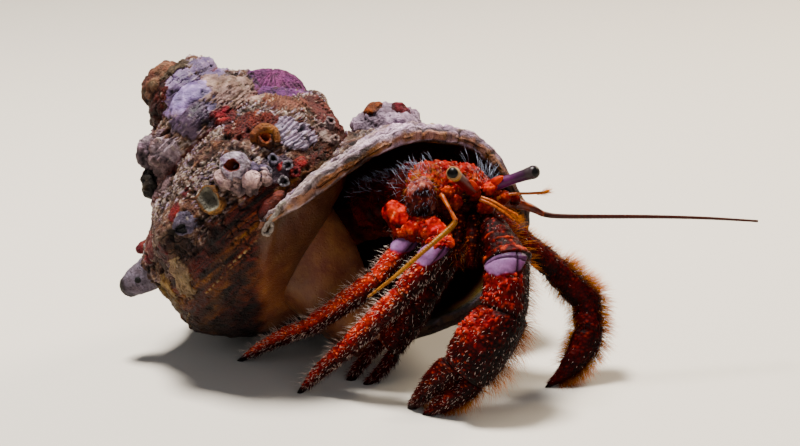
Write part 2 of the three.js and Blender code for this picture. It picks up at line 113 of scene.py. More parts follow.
# Two directions square to a line: its cross product with a fixed one, and with that result.
def sideways(along, fixed):
    side = unit(np.cross(along, fixed))
    return side, np.cross(along, side)


# Shares from first to last down the rows, and angles once round along the columns.
def ringGrid(rows, columns, first=0.0, last=1.0):
    return np.meshgrid(np.linspace(first, last, rows), math.tau * np.arange(columns) / columns, indexing="ij")


# Ovals round centres: one side times a half width and the cosine, the other times a half height and the sine.
def ovals(centre, side, other, angle, wide, high=None):
    high = wide if high is None else high
    return centre + scaled(side, wide * np.cos(angle)) + scaled(other, high * np.sin(angle))


# Whole numbers along three axes to an even spread from 0 to 1: multiply, fold and shift the bits.
def scatter(i, j, k, seed):
    with np.errstate(over="ignore"):
        h = i.astype(np.uint32) * np.uint32(73856093)
        h ^= j.astype(np.uint32) * np.uint32(19349663)
        h ^= k.astype(np.uint32) * np.uint32(83492791)
        h ^= np.uint32((seed * 2654435761) % 2**32)
        h ^= h >> np.uint32(13)
        h *= np.uint32(1540483477)
        h ^= h >> np.uint32(15)
        h *= np.uint32(668265263)
        h ^= h >> np.uint32(14)
    return h.astype(np.float64) / 2**32


# Smooth noise from -1 to 1: values at whole numbers, eased between the eight corners of each cell.
def noise(p, seed=0):
    base = np.floor(p).astype(np.int64)
    f = p - base
    f = f * f * (3 - 2 * f)
    total = np.zeros(p.shape[:-1])
    for corner in range(8):
        dx, dy, dz = corner & 1, corner >> 1 & 1, corner >> 2
        weight = (f[..., 0] if dx else 1 - f[..., 0]) * (f[..., 1] if dy else 1 - f[..., 1])
        weight = weight * (f[..., 2] if dz else 1 - f[..., 2])
        total += weight * scatter(base[..., 0] + dx, base[..., 1] + dy, base[..., 2] + dz, seed)
    return total * 2 - 1


# The same noise at several scales, each half as large and half as strong as the one before.
def layered(p, size, octaves=3, seed=0):
    total = np.zeros(p.shape[:-1])
    for octave in range(octaves):
        total += noise(p / size * 2**octave + 17.3 * octave, seed + octave) / 2**octave
    return total / (2 - 2 ** (1 - octaves))


# Distance to the nearest and second nearest of scattered points, one in each cell, and the nearest's number.
def cells(p, size, seed=0, loose=0.9):
    q = p / size
    base = np.floor(q).astype(np.int64)
    first = np.full(p.shape[:-1], 9.0)
    second = first.copy()
    mark = first.copy()
    for dx in (-1, 0, 1):
        for dy in (-1, 0, 1):
            for dz in (-1, 0, 1):
                i, j, k = base[..., 0] + dx, base[..., 1] + dy, base[..., 2] + dz
                at = [n + 0.5 + loose * (scatter(i, j, k, seed + c) - 0.5) for c, n in enumerate((i, j, k))]
                d = np.sqrt(sum((q[..., c] - at[c]) ** 2 for c in range(3)))
                nearer = d < first
                second = np.where(nearer, first, np.minimum(second, d))
                mark = np.where(nearer, scatter(i, j, k, seed + 7), mark)
                first = np.where(nearer, d, first)
    return first, second, mark


# Round spots, 1 near scattered points and 0 from outer on; above is the share of points that have none.
def spots(p, size, seed, outer, inner, above=-1.0):
    near, _, chance = cells(p, size, seed)
    return ease(outer, inner, near) * (chance > above)


# Thin winding lines, 1 where layered noise crosses zero.
def veins(p, size, octaves, seed, width):
    return ease(width, 0.0, np.abs(layered(p, size, octaves, seed)))


# A smooth curve through evenly spaced rows: each stretch is the usual cubic of its four nearest rows.
def through(rows, share):
    rows = np.asarray(rows, float)
    last = len(rows) - 1
    place = np.clip(share, 0, 1) * last
    k = np.minimum(np.floor(place).astype(int), last - 1)
    t = (place - k)[..., None]
    a, b, c, d = (rows[np.clip(k + n, 0, last)] for n in (-1, 0, 1, 2))
    pull, push = (c - a) / 2, (d - b) / 2
    return (2 * b - 2 * c + pull + push) * t**3 + (3 * c - 3 * b - 2 * pull - push) * t**2 + pull * t + b


shellForm = {
    "tip": (-52, 25.8, 64.7),  # where the spiral would shrink to nothing
    "axis": (0.577, -0.2526, -0.7768),
    "mouthSide": (0.817, 0.178, 0.5487),
    "turnRatio": 0.6,  # size one turn older
    "knobsPerTurn": 8.1,
    "knobWidth": 0.034,
    "knobHeight": 3.4,
    "shoulder": 3 / 8,
    # outline from the suture over the shoulder to the base: distance from the axis, distance from the tip
    "outline": [[20.5, 35], [26.5, 39.5], [31, 44], [34, 49.5], [36, 56.5], [36.5, 64], [34.5, 72], [22, 80.5],
                [6, 83]],
    "lip": [[22.5, 39.8], [25, 40.9], [29.3, 42.9], [35.8, 47.2], [44.6, 57], [46, 70], [42.5, 79.5],
            [24.5, 86], [8, 82]],
    "lipReach": [0.27, 0.18, 0.1, 0.035, 0, -0.01, -0.015, 0, 0.02],
    "lipWall": 3.2,
}
spiralTip = np.array(shellForm["tip"])
spiralAxis = unit(shellForm["axis"])
mouthSide = np.array(shellForm["mouthSide"])
mouthSide = unit(mouthSide - spiralAxis * (mouthSide @ spiralAxis))
nearSide = np.cross(spiralAxis, mouthSide)


# A circle round the axis that shrinks by one ratio each turn towards the tip.
def spiralPoint(turn, radius, along):
    turn = np.asarray(turn, float)
    size = shellForm["turnRatio"] ** -turn
    return ovals(spiralTip + scaled(spiralAxis, size * along), mouthSide, nearSide, math.tau * turn, size * radius)


# Whorl outline at a place: the plain outline eases into the flared lip, with a knob every eighth of a turn.
def whorlProfile(turn, share):
    flare = ease(-0.3, 0.02, turn)[..., None]
    p = mix(through(shellForm["outline"], share), through(shellForm["lip"], share), flare)
    step = 1 / shellForm["knobsPerTurn"]
    nearest = np.round((turn + 0.5) / step) * step - 0.5
    bump = bell(turn, nearest, shellForm["knobWidth"]) * bell(share, shellForm["shoulder"], 0.1)
    p[..., 0] += np.where(nearest < -0.04, shellForm["knobHeight"], 0) * bump
    return p


# The whorl outline carried round the spiral.
def shellSurface(turn, share):
    p = whorlProfile(turn, share)
    return spiralPoint(turn, p[..., 0], p[..., 1])


# How far round the lip reaches at each share of the outline: a smooth curve through its table.
def lipTurn(share):
    return through(np.array(shellForm["lipReach"])[:, None], share)[..., 0]


# Corners of the squares between neighbouring grid points; the columns may close into a ring.
def gridQuads(rows, columns, closed=False):
    i = np.arange(rows - 1)[:, None]
    j = np.arange(columns if closed else columns - 1)[None, :]
    n = (j + 1) % columns
    corners = [i * columns + j, i * columns + n, (i + 1) * columns + n, (i + 1) * columns + j]
    return np.stack(corners, -1).reshape(-1, 4)


# Outward directions of a grid: the cross product of its two slopes, turned away from the middle.
def gridNormals(points, middle, closed=True):
    down = np.gradient(points, axis=0)
    if closed:
        over = np.roll(points, -1, axis=1) - np.roll(points, 1, axis=1)
    else:
        over = np.gradient(points, axis=1)
    normals = unit(np.cross(over, down))
    return normals * np.sign(np.sum(normals * (points - middle)))


# The volume inside: a sixth of each triangle's first corner times the cross product of the other two.
def volumeOf(points, quads, tris):
    p, q, r = np.moveaxis(points[np.concatenate([quads[:, :3], quads[:, [0, 2, 3]], tris])], 1, 0)
    return np.einsum("ij,ij->", p, np.cross(q, r)) / 6


noTris = np.zeros((0, 3), int)


# A part of a piece: its points in millimetres, its faces, and colour and gloss at each point.
def part(points, quads, tris, tint, gloss):
    points = points.reshape(-1, 3)
    count = len(points)
    if volumeOf(points - points.mean(0), quads, tris) < 0:
        quads, tris = quads[:, ::-1], tris[:, ::-1]
    tint = np.broadcast_to(np.asarray(tint, float).reshape(-1, 3), (count, 3))
    gloss = np.broadcast_to(np.asarray(gloss, float).reshape(-1), (count,))
    return {"points": points, "quads": quads, "tris": tris, "tint": tint, "gloss": gloss}


# Rows of values and, after them, the average of the first row and of the last.
def withEnds(values):
    flat = values.reshape(-1, values.shape[-1])
    return np.concatenate([flat, values[0].mean(0)[None], values[-1].mean(0)[None]])


# A stack of rings, closed by a fan over each end from the middle of its ring.
def tubePart(rings, tint, gloss):
    rows, columns = rings.shape[:2]
    j = np.arange(columns)
    n = (j + 1) % columns
    low, top = rows * columns, (rows - 1) * columns
    tris = np.concatenate([placed(low, n, j), placed(low + 1, top + j, top + n)])
    tint = np.broadcast_to(np.asarray(tint, float), (rows, columns, 3))
    gloss = np.broadcast_to(np.asarray(gloss, float), (rows, columns))[..., None]
    return part(withEnds(rings), gridQuads(rows, columns, True), tris, withEnds(tint), withEnds(gloss))


# Two facing grids and the strips that join their four borders: a sheet with thickness.
def slabPart(front, back, tint, gloss):
    rows, columns = front.shape[:2]
    count = rows * columns
    border = np.concatenate([
        np.arange(columns), np.arange(1, rows) * columns + columns - 1,
        (rows - 1) * columns + np.arange(columns - 2, -1, -1), np.arange(rows - 2, 0, -1) * columns,
    ])
    after = np.roll(border, -1)
    faces = gridQuads(rows, columns)
    rim = np.stack([after, border, border + count, after + count], -1)
    quads = np.concatenate([faces, faces[:, ::-1] + count, rim])
    points = np.concatenate([front.reshape(-1, 3), back.reshape(-1, 3)])
    return part(points, quads, noTris, tint, gloss)


# Several parts as one: their points in turn, and their faces moved on by the points before them.
def joined(parts):
    whole = {}
    starts = np.cumsum([0] + [len(p["points"]) for p in parts])
    for key in ("points", "tint", "gloss"):
        whole[key] = np.concatenate([p[key] for p in parts])
    for key in ("quads", "tris"):
        whole[key] = np.concatenate([p[key] + start for p, start in zip(parts, starts)])
    if all("uv" in p for p in parts):
        whole["uv"] = np.concatenate([p["uv"] for p in parts])
    return whole


# Puts a part into a Blender mesh that rides on the body, with its colour, its gloss and any unwrap.
def placePiece(name, form, finish, nodes=()):
    points, quads, tris = toRow(form["points"]), form["quads"], form["tris"]
    mesh = bpy.data.meshes.new(name)
    mesh.vertices.add(len(points))
    mesh.vertices.foreach_set("co", points.astype(np.float32).ravel())
    corners = np.concatenate([quads.ravel(), tris.ravel()]).astype(np.int32)
    mesh.loops.add(len(corners))
    mesh.loops.foreach_set("vertex_index", corners)
    sizes = np.concatenate([np.full(len(quads), 4), np.full(len(tris), 3)])
    mesh.polygons.add(len(sizes))
    mesh.polygons.foreach_set("loop_start", (np.cumsum(sizes) - sizes).astype(np.int32))
    mesh.polygons.foreach_set("use_smooth", np.full(len(sizes), True))
    mesh.update(calc_edges=True)
    tint = mesh.attributes.new("tint", "FLOAT_COLOR", "POINT")
    colours = np.concatenate([np.clip(form["tint"], 0, 1), np.ones((len(points), 1))], 1)
    tint.data.foreach_set("color", colours.astype(np.float32).ravel())
    gloss = mesh.attributes.new("gloss", "FLOAT", "POINT")
    gloss.data.foreach_set("value", form["gloss"].astype(np.float32))
    if "uv" in form:
        unwrap = mesh.uv_layers.new(name="OFBake")
        unwrap.data.foreach_set("uv", form["uv"][corners].astype(np.float32).ravel())
    mesh.validate()
    piece = bpy.data.objects.new(name, mesh)
    bpy.context.scene.collection.objects.link(piece)
    piece.data.materials.append(materials[finish])
    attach(piece, "root")
    if nodes:
        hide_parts(*nodes)
    print(f"{name}: {2 * len(quads) + len(tris)} triangles")


# Links a socket to another, or gives it a constant.
def feed(socket, value):
    if isinstance(value, bpy.types.NodeSocket):
        socket.id_data.links.new(value, socket)
    else:
        socket.default_value = value


# A node with its settings, and what feeds its sockets by name.
def addNode(tree, kind, settings=None, **inputs):
    node = tree.nodes.new(kind)
    for key, value in (settings or {}).items():
        setattr(node, key, value)
    for key, value in inputs.items():
        feed(node.inputs[key], value)
    return node


noiseRange = (0.3, 0.7)  # where most of a noise node's values lie
roughnessSpread = 0.06
leastRoughness = 0.12
glossFlattens = 0.85  # how much of the bump full gloss takes away


# Surface colour and gloss come from the piece's own tint and gloss. Noise on Object coordinates breaks the
# colour up, darkens the pits and gives the bump; every number is in the finish's dictionary.
def finishMaterial(name, look):
    material = bpy.data.materials.new(name)
    material.use_nodes = True
    tree = material.node_tree
    shader = tree.nodes["Principled BSDF"]
    place = addNode(tree, "ShaderNodeTexCoord").outputs["Object"]
    tint = addNode(tree, "ShaderNodeAttribute", {"attribute_name": "tint"}).outputs["Color"]
    gloss = addNode(tree, "ShaderNodeAttribute", {"attribute_name": "gloss"}).outputs["Fac"]
    broad = addNode(tree, "ShaderNodeTexNoise", Vector=place, Scale=look["broadScale"], Detail=4.0, Roughness=0.6)
    fine = addNode(tree, "ShaderNodeTexNoise", Vector=place, Scale=look["fineScale"], Detail=3.0, Roughness=0.65)
    pores = addNode(tree, "ShaderNodeTexVoronoi", Vector=place, Scale=look["poreScale"])

    # One range of values moved evenly to another.
    def spread(value, low, high, toLow, toHigh):
        node = addNode(tree, "ShaderNodeMapRange", Value=value)
        for key, number in zip(("From Min", "From Max", "To Min", "To Max"), (low, high, toLow, toHigh)):
            feed(node.inputs[key], number)
        return node.outputs["Result"]

    # Two values added, subtracted or multiplied, or the larger one.
    def calculate(operation, a, b):
        node = addNode(tree, "ShaderNodeMath", {"operation": operation})
        feed(node.inputs[0], a)
        feed(node.inputs[1], b)
        return node.outputs["Value"]

    shade = spread(broad.outputs["Fac"], *noiseRange, 1 - look["broadShade"], 1 + look["broadShade"])
    speck = spread(fine.outputs["Fac"], *noiseRange, 1 - look["fineShade"], 1 + look["fineShade"])
    pit = spread(pores.outputs["Distance"], 0.05, 0.3, 1 - look["poreShade"], 1.0)
    grainy = calculate("SUBTRACT", calculate("MULTIPLY", speck, pit), 1.0)
    grainy = calculate("MULTIPLY", grainy, calculate("SUBTRACT", 1.0, gloss))
    light = calculate("MULTIPLY", shade, calculate("ADD", grainy, 1.0))
    shaded = addNode(tree, "ShaderNodeVectorMath", {"operation": "SCALE"}, Vector=tint, Scale=light)
    hue = addNode(tree, "ShaderNodeHueSaturation", Color=shaded.outputs["Vector"],
                  Saturation=look["saturation"], Value=look["value"],
                  Hue=spread(broad.outputs["Fac"], 0.25, 0.75, 0.5 - look["hueShift"], 0.5 + look["hueShift"]))
    deep = addNode(tree, "ShaderNodeGamma", Color=hue.outputs["Color"], Gamma=look["deepen"])
    feed(shader.inputs["Base Color"], deep.outputs["Color"])
    rough = calculate("SUBTRACT", look["roughness"], calculate("MULTIPLY", gloss, look["glossStrength"]))
    rough = calculate("ADD", rough, spread(fine.outputs["Fac"], *noiseRange, -roughnessSpread, roughnessSpread))
    feed(shader.inputs["Roughness"], calculate("MAXIMUM", rough, leastRoughness))
    height = calculate("ADD", calculate("MULTIPLY", fine.outputs["Fac"], look["fineBump"]),
                       calculate("MULTIPLY", pit, look["poreBump"]))
    matte = calculate("SUBTRACT", 1.0, calculate("MULTIPLY", gloss, glossFlattens))
    bump = addNode(tree, "ShaderNodeBump", Height=calculate("MULTIPLY", height, matte), Distance=look["bumpDepth"],
                   Strength=1.0)
    feed(shader.inputs["Normal"], bump.outputs["Normal"])
    feed(shader.inputs["Specular IOR Level"], look["specular"])
    if look.get("coat"):
        feed(shader.inputs["Coat Weight"], look["coat"])
        feed(shader.inputs["Coat Roughness"], look["coatRoughness"])
    return material


finishes = {
    "shell": dict(broadScale=260, fineScale=1700, poreScale=1300, broadShade=0.25, fineShade=0.4, poreShade=0.5,
                  hueShift=0.02, roughness=0.8, glossStrength=0.5, fineBump=1.2, poreBump=0.8, bumpDepth=0.0006,
                  specular=0.2, saturation=1.25, value=0.98, deepen=1.3),
    "armour": dict(broadScale=420, fineScale=2600, poreScale=2400, broadShade=0.2, fineShade=0.3, poreShade=0.35,
                   hueShift=0.012, roughness=0.5, glossStrength=0.28, fineBump=0.7, poreBump=0.4, bumpDepth=0.00025,
                   specular=0.05, saturation=1.16, value=0.97, deepen=1.22),
    "bristle": dict(broadScale=300, fineScale=3000, poreScale=2000, broadShade=0.15, fineShade=0.12, poreShade=0.0,
                    hueShift=0.01, roughness=0.6, glossStrength=0.0, fineBump=0.0, poreBump=0.0, bumpDepth=0.0001,
                    specular=0.0, saturation=1.15, value=1.0, deepen=1.1),
    "smooth": dict(broadScale=500, fineScale=3000, poreScale=2500, broadShade=0.15, fineShade=0.15, poreShade=0.1,
                   hueShift=0.01, roughness=0.42, glossStrength=0.3, fineBump=0.3, poreBump=0.0, bumpDepth=0.0001,
                   specular=0.18, saturation=1.2, value=0.95, deepen=1.2),
    "eye": dict(broadScale=900, fineScale=5000, poreScale=9000, broadShade=0.15, fineShade=0.1, poreShade=0.15,
                hueShift=0.01, roughness=0.45, glossStrength=0.1, fineBump=0.05, poreBump=0.3, bumpDepth=0.00003,
                specular=0.12, coat=0.02, coatRoughness=0.3, saturation=1.0, value=0.9, deepen=1.15),
}
materials = {name: finishMaterial(name + "Finish", look) for name, look in finishes.items()}
print("materials made")


shellLook = {
    "crust": 0.8,  # height of the broad lumps, mm
    "crustSize": 6,
    "nodules": 0.7,  # small round lumps
    "noduleSize": 2.1,
    "pits": 0.8,
    "cords": 0.4,  # fine ridges along the growth
    "grainHeight": 0.25,
    "beadRow": 0.706,  # where a row of small beads follows the growth, as a share of the outline
    "layers": 0.75,  # plates along the lip
    "light": (-0.15, 0.05, 0.98),  # the direction of the sun: pale grains crust the side that faces it, and painted shade darkens the side away from it
    "calmSide": -28.5,  # the smooth inner lip lies to +X of this, mm
    "ground": ("#24120f", "#4a2e24", "#6d5548", "#3c1c18", "#857064", "#55463a"),
    "sand": ("#857670", "#bcada2", "#a4989a", "#c0b4ac", "#a494aa", "#8a7a6e", "#643a36"),
    # colours of the dark lower half: partly its own dark colour, partly painted shade
    "lowerShaded": ("#1c0503", "#3c0e06", "#641e0c", "#280806", "#7c4426"),
    "amber": ("#5a3416", "#9a6a26", "#744626"),
    "callus": ("#6c5040", "#584034", "#54441e"),
    "growthShade": 0.62,  # dims the growths' colours
    "lip": ("#806c78", "#d6c4d2", "#b4a0b2", "#968478"),
    "lipCrack": "#2c1c18",
    "lipStripe": ("#442814", "#845834"),
    "lipThin": "#3e3828",
    # colours of the wall inside the mouth: partly its own dark red, partly painted shade
    "mouth": ("#64201a", "#380e0c"),
    "mouthEdge": "#57502c",
    "lipTan": ("#56381f", "#9a7048", "#704e30"),
    "lipRust": "#6b3a22",
    "lipLine": "#1c0c08",
    "beads": "#a8987c",
    "fleck": "#b0a49a",
    "amberBands": ((0.664, 0.032), (0.775, 0.036)),  # middle and width, as shares of the outline
    "turnLength": 467,  # mm round the last turn
    "outlineLength": 110,  # mm along the outline of the last turn
    "frayed": 0.75,  # how far noise moves the edges of growths and stains
    "grime": (0.62, 1.2),  # darkest and brightest of the broad shade
    "hollowShade": (0.25, 1.15),  # painted shade in the pits and painted light on the crests
    "crackShade": 0.6,
    "awayShade": 0.5,  # brightness on the side away from the sun
    "floorShade": 0.45,  # brightness near the floor
    "plateWidth": 0.95,  # distance between the plates along the lip, mm
    "lipRound": 1.6,  # how far from its edge the lip starts to round off, mm
    "tuck": 1.2,  # how deep the end of a stretch dives under the next, mm
    "openFrom": -0.46,  # the turn where the last whorl opens
    "lipRadius": 38,  # mm from the axis to the lip
}

# Growths and stains: centre in mm, half sizes along X, Y and Z, two colours, gloss, and how far it stands up.
shellPatches = {
    "corallineCap": ((-42.3, 12.4, 56), (6.6, 6.5, 6.8), ("#b4a2bc", "#847294"), 0.75, 0.6),
    # A darker copy of the coralline's colours below the cap, partly painted shade.
    "corallineLow": ((-41, 9.5, 51.6), (5, 5, 3.4), ("#8c7a8c", "#4c3c52"), 0.7, 0.3),
    "tipRust": ((-50.5, 17.5, 54.6), (4.2, 5, 5.4), ("#6d2415", "#3a1510"), 0.25, 0.2),
    "tipLichen": ((-48.5, 18.5, 60), (5, 5, 3), ("#7c6c5c", "#54463c"), 0.1, 0.3),
    "redPatch": ((-35.3, 7.6, 52.9), (2.5, 2.6, 2.2), ("#a42436", "#581018"), 0.2, 0.35),
    "redDust": ((-33.4, 5, 50.6), (1.6, 2, 1), ("#b0203a", "#b98a76"), 0.1, 0.1),
    "purpleKnob": ((-25, 22, 59), (6, 9, 6), ("#9a679c", "#6f4a72"), 0.2, 0.1),
    "kneeCream": ((-34, 13, 57.4), (6.5, 6, 3.6), ("#ccb4ae", "#8c766c"), 0.4, 0.4),
    "ridgedRust": ((-29.3, 3, 52.2), (6, 5, 2.6), ("#96584c", "#5c2e2e"), 0.2, 0.2),
    "ridgedTan": ((-22.5, 8, 56.4), (5, 5, 2.4), ("#bc9484", "#7c5448"), 0.15, 0.3),
    "lilacPlate": ((-20.6, 1.6, 50.6), (3.6, 3.6, 3), ("#e0d4e6", "#988898"), 0.35, 0.45),
    "leftGrey": ((-48.3, 7.5, 45.4), (3.6, 4, 3.4), ("#c8b8c0", "#84727a"), 0.1, 0.4),
    "shoulderRed": ((-16.6, 12.5, 51.6), (4.6, 5.5, 4.4), ("#93625c", "#6b3c3c"), 0.15, 0.5),
    "shoulderWhite": ((-15, 7, 49), (2.6, 3.6, 3), ("#bcaea9", "#7c6260"), 0.1, 0.4),
    "redSpotHigh": ((-42.6, -4.4, 40.6), (1.2, 1.6, 1.6), ("#8c1828", "#5c1418"), 0.1, 0.1),
    "redSpotLow": ((-44.4, -5, 36.6), (1.1, 1.6, 2.4), ("#8c1828", "#5c1418"), 0.1, 0.1),
    "redStreak": ((-46.6, -3, 31), (1.1, 2, 3.4), ("#a51d30", "#5c1c22"), 0.1, 0.2),
    "blueRim": ((-42.5, -6.6, 34.4), (2.5, 2.4, 2.2), ("#8c8494", "#5c5464"), 0.3, 0.35),
    "blueSpot": ((-42.9, -7.2, 33.9), (1.25, 2, 1.15), ("#10111c", "#22202e"), 0.6, -0.25),
    "spineSkirt": ((-50.6, 5.4, 25.6), (2.6, 3.4, 3), ("#a06a66", "#7c3c40"), 0.2, 0.1),
    "maroonSpot": ((-47.6, -1.4, 26.5), (2.6, 2.4, 2.2), ("#4c1620", "#7a2c34"), 0.2, 0.1),
    "creamPatch": ((-43.6, -4.6, 22.6), (3.2, 3, 4.2), ("#c4ad92", "#9f8a72"), 0.15, 0.3),
    "creamEdge": ((-47.6, 1, 16.4), (3, 3.4, 5), ("#b59c72", "#8a6c46"), 0.15, 0.2),
    "leftLumps": ((-48.5, 13, 40), (5, 8, 7), ("#b8a0a4", "#806a6c"), 0.1, 0.7),
    "darkCups": ((-24.6, -5.6, 45.6), (3.6, 3, 2.8), ("#4b3844", "#8a7d86"), 0.1, 0.3),
    "redCupHigh": ((-23.1, -5.2, 46.2), (1, 1.6, 1), ("#a8203a", "#6c1c28"), 0.1, 0.3),
    "redCupSide": ((-19.4, -3.4, 46.4), (1.3, 2, 1.2), ("#a63a44", "#8a6a64"), 0.1, 0.2),
    "backLilac": ((-14, 34, 40), (9, 9, 8), ("#a89cab", "#7e6e74"), 0.2, 0.4),
    "backRust": ((-34, 34, 34), (8, 8, 7), ("#8e5a42", "#5c3028"), 0.1, 0.3),
    "backGreen": ((-6, 38, 24), (8, 8, 7), ("#7d7a58", "#585040"), 0.05, 0.3),
    "backRed": ((-24, 38, 24), (5, 6, 4), ("#8c2230", "#6a3c38"), 0.1, 0.2),
    "crestLilac": ((-39.6, 19, 59.4), (3.8, 4.2, 2.8), ("#a898b4", "#786a8a"), 0.6, 0.2),
}
# Distance between ridge lines on the growths that are ribbed, mm.
shellRibs = {"ridgedRust": 1.5, "ridgedTan": 1.3, "lilacPlate": 1.7, "backRust": 1.6}


# Places on the shell in mm: along the growth, and across the whorl. Both grow with the spiral's size.
def shellMap(turn, share):
    grown = shellForm["turnRatio"] ** -turn
    return shellLook["turnLength"] * grown, shellLook["outlineLength"] * share * grown


# Crust over the whorls: broad noise, sharp folds where noise crosses zero, round lumps where scattered points
# are near, pits, and ridges in rows.
def crustHeight(p, turn, share):
    look = shellLook
    nearest, _, mark = cells(p, look["noduleSize"], 3)
    lumpy = ease(-0.1, 0.5, noise(p / 9, 5))
    fold = veins(p, 5.2, 3, 7, 0.16)
    height = look["crust"] * layered(p, look["crustSize"], 3, 1)
    height -= 0.75 * fold * ease(-0.3, 0.3, noise(p / 8, 8))
    height += look["nodules"] * ease(0.6, 0.1, nearest) * (0.35 + 0.9 * mark) * lumpy
    height -= look["pits"] * spots(p, 2.9, 11, 0.3, 0.14, 0.55)
    lines = placed(share * 46, turn * 5, p[..., 2] * 0.02)
    return height + look["cords"] * noise(lines, 21) * ease(0.5, -0.2, noise(p / 7, 23))


# Colours along a row of stops: the two nearest stops mixed by the share of the way between them.
def blended(codes, amount):
    stops = np.array([paint(code) for code in codes])
    place = np.clip(amount, 0, 1) * (len(stops) - 1)
    k = np.minimum(place.astype(int), len(stops) - 2)
    return mix(stops[k], stops[k + 1], (place - k)[..., None])


# A row of stops picked by a middle value plus layered noise.
def mottled(codes, points, size, octaves, seed, power=1.0, middle=0.5):
    return blended(codes, middle + power * layered(points, size, octaves, seed))


# Noise over one number, the same all along the other two directions.
def lineNoise(x, seed):
    return noise(placed(x, 0, 0), seed)


# Smooth lime of the inner lip: broad noise; painted light and shade that change with height, from dimLow near the
# floor to dimHigh higher up; and painted shade in fans that spread round a point inside the mouth.
def callusTint(points, dimLow, dimHigh):
    fan = lineNoise(9 * np.arctan2(points[..., 0] + 22, 48 - points[..., 2]), 80)
    rise = mix(dimLow, dimHigh, ease(4, 32, points[..., 2]))
    return mottled(shellLook["callus"][:2], points, 7, 3, 63, 0.7), rise * (1 + 0.25 * fan), fan
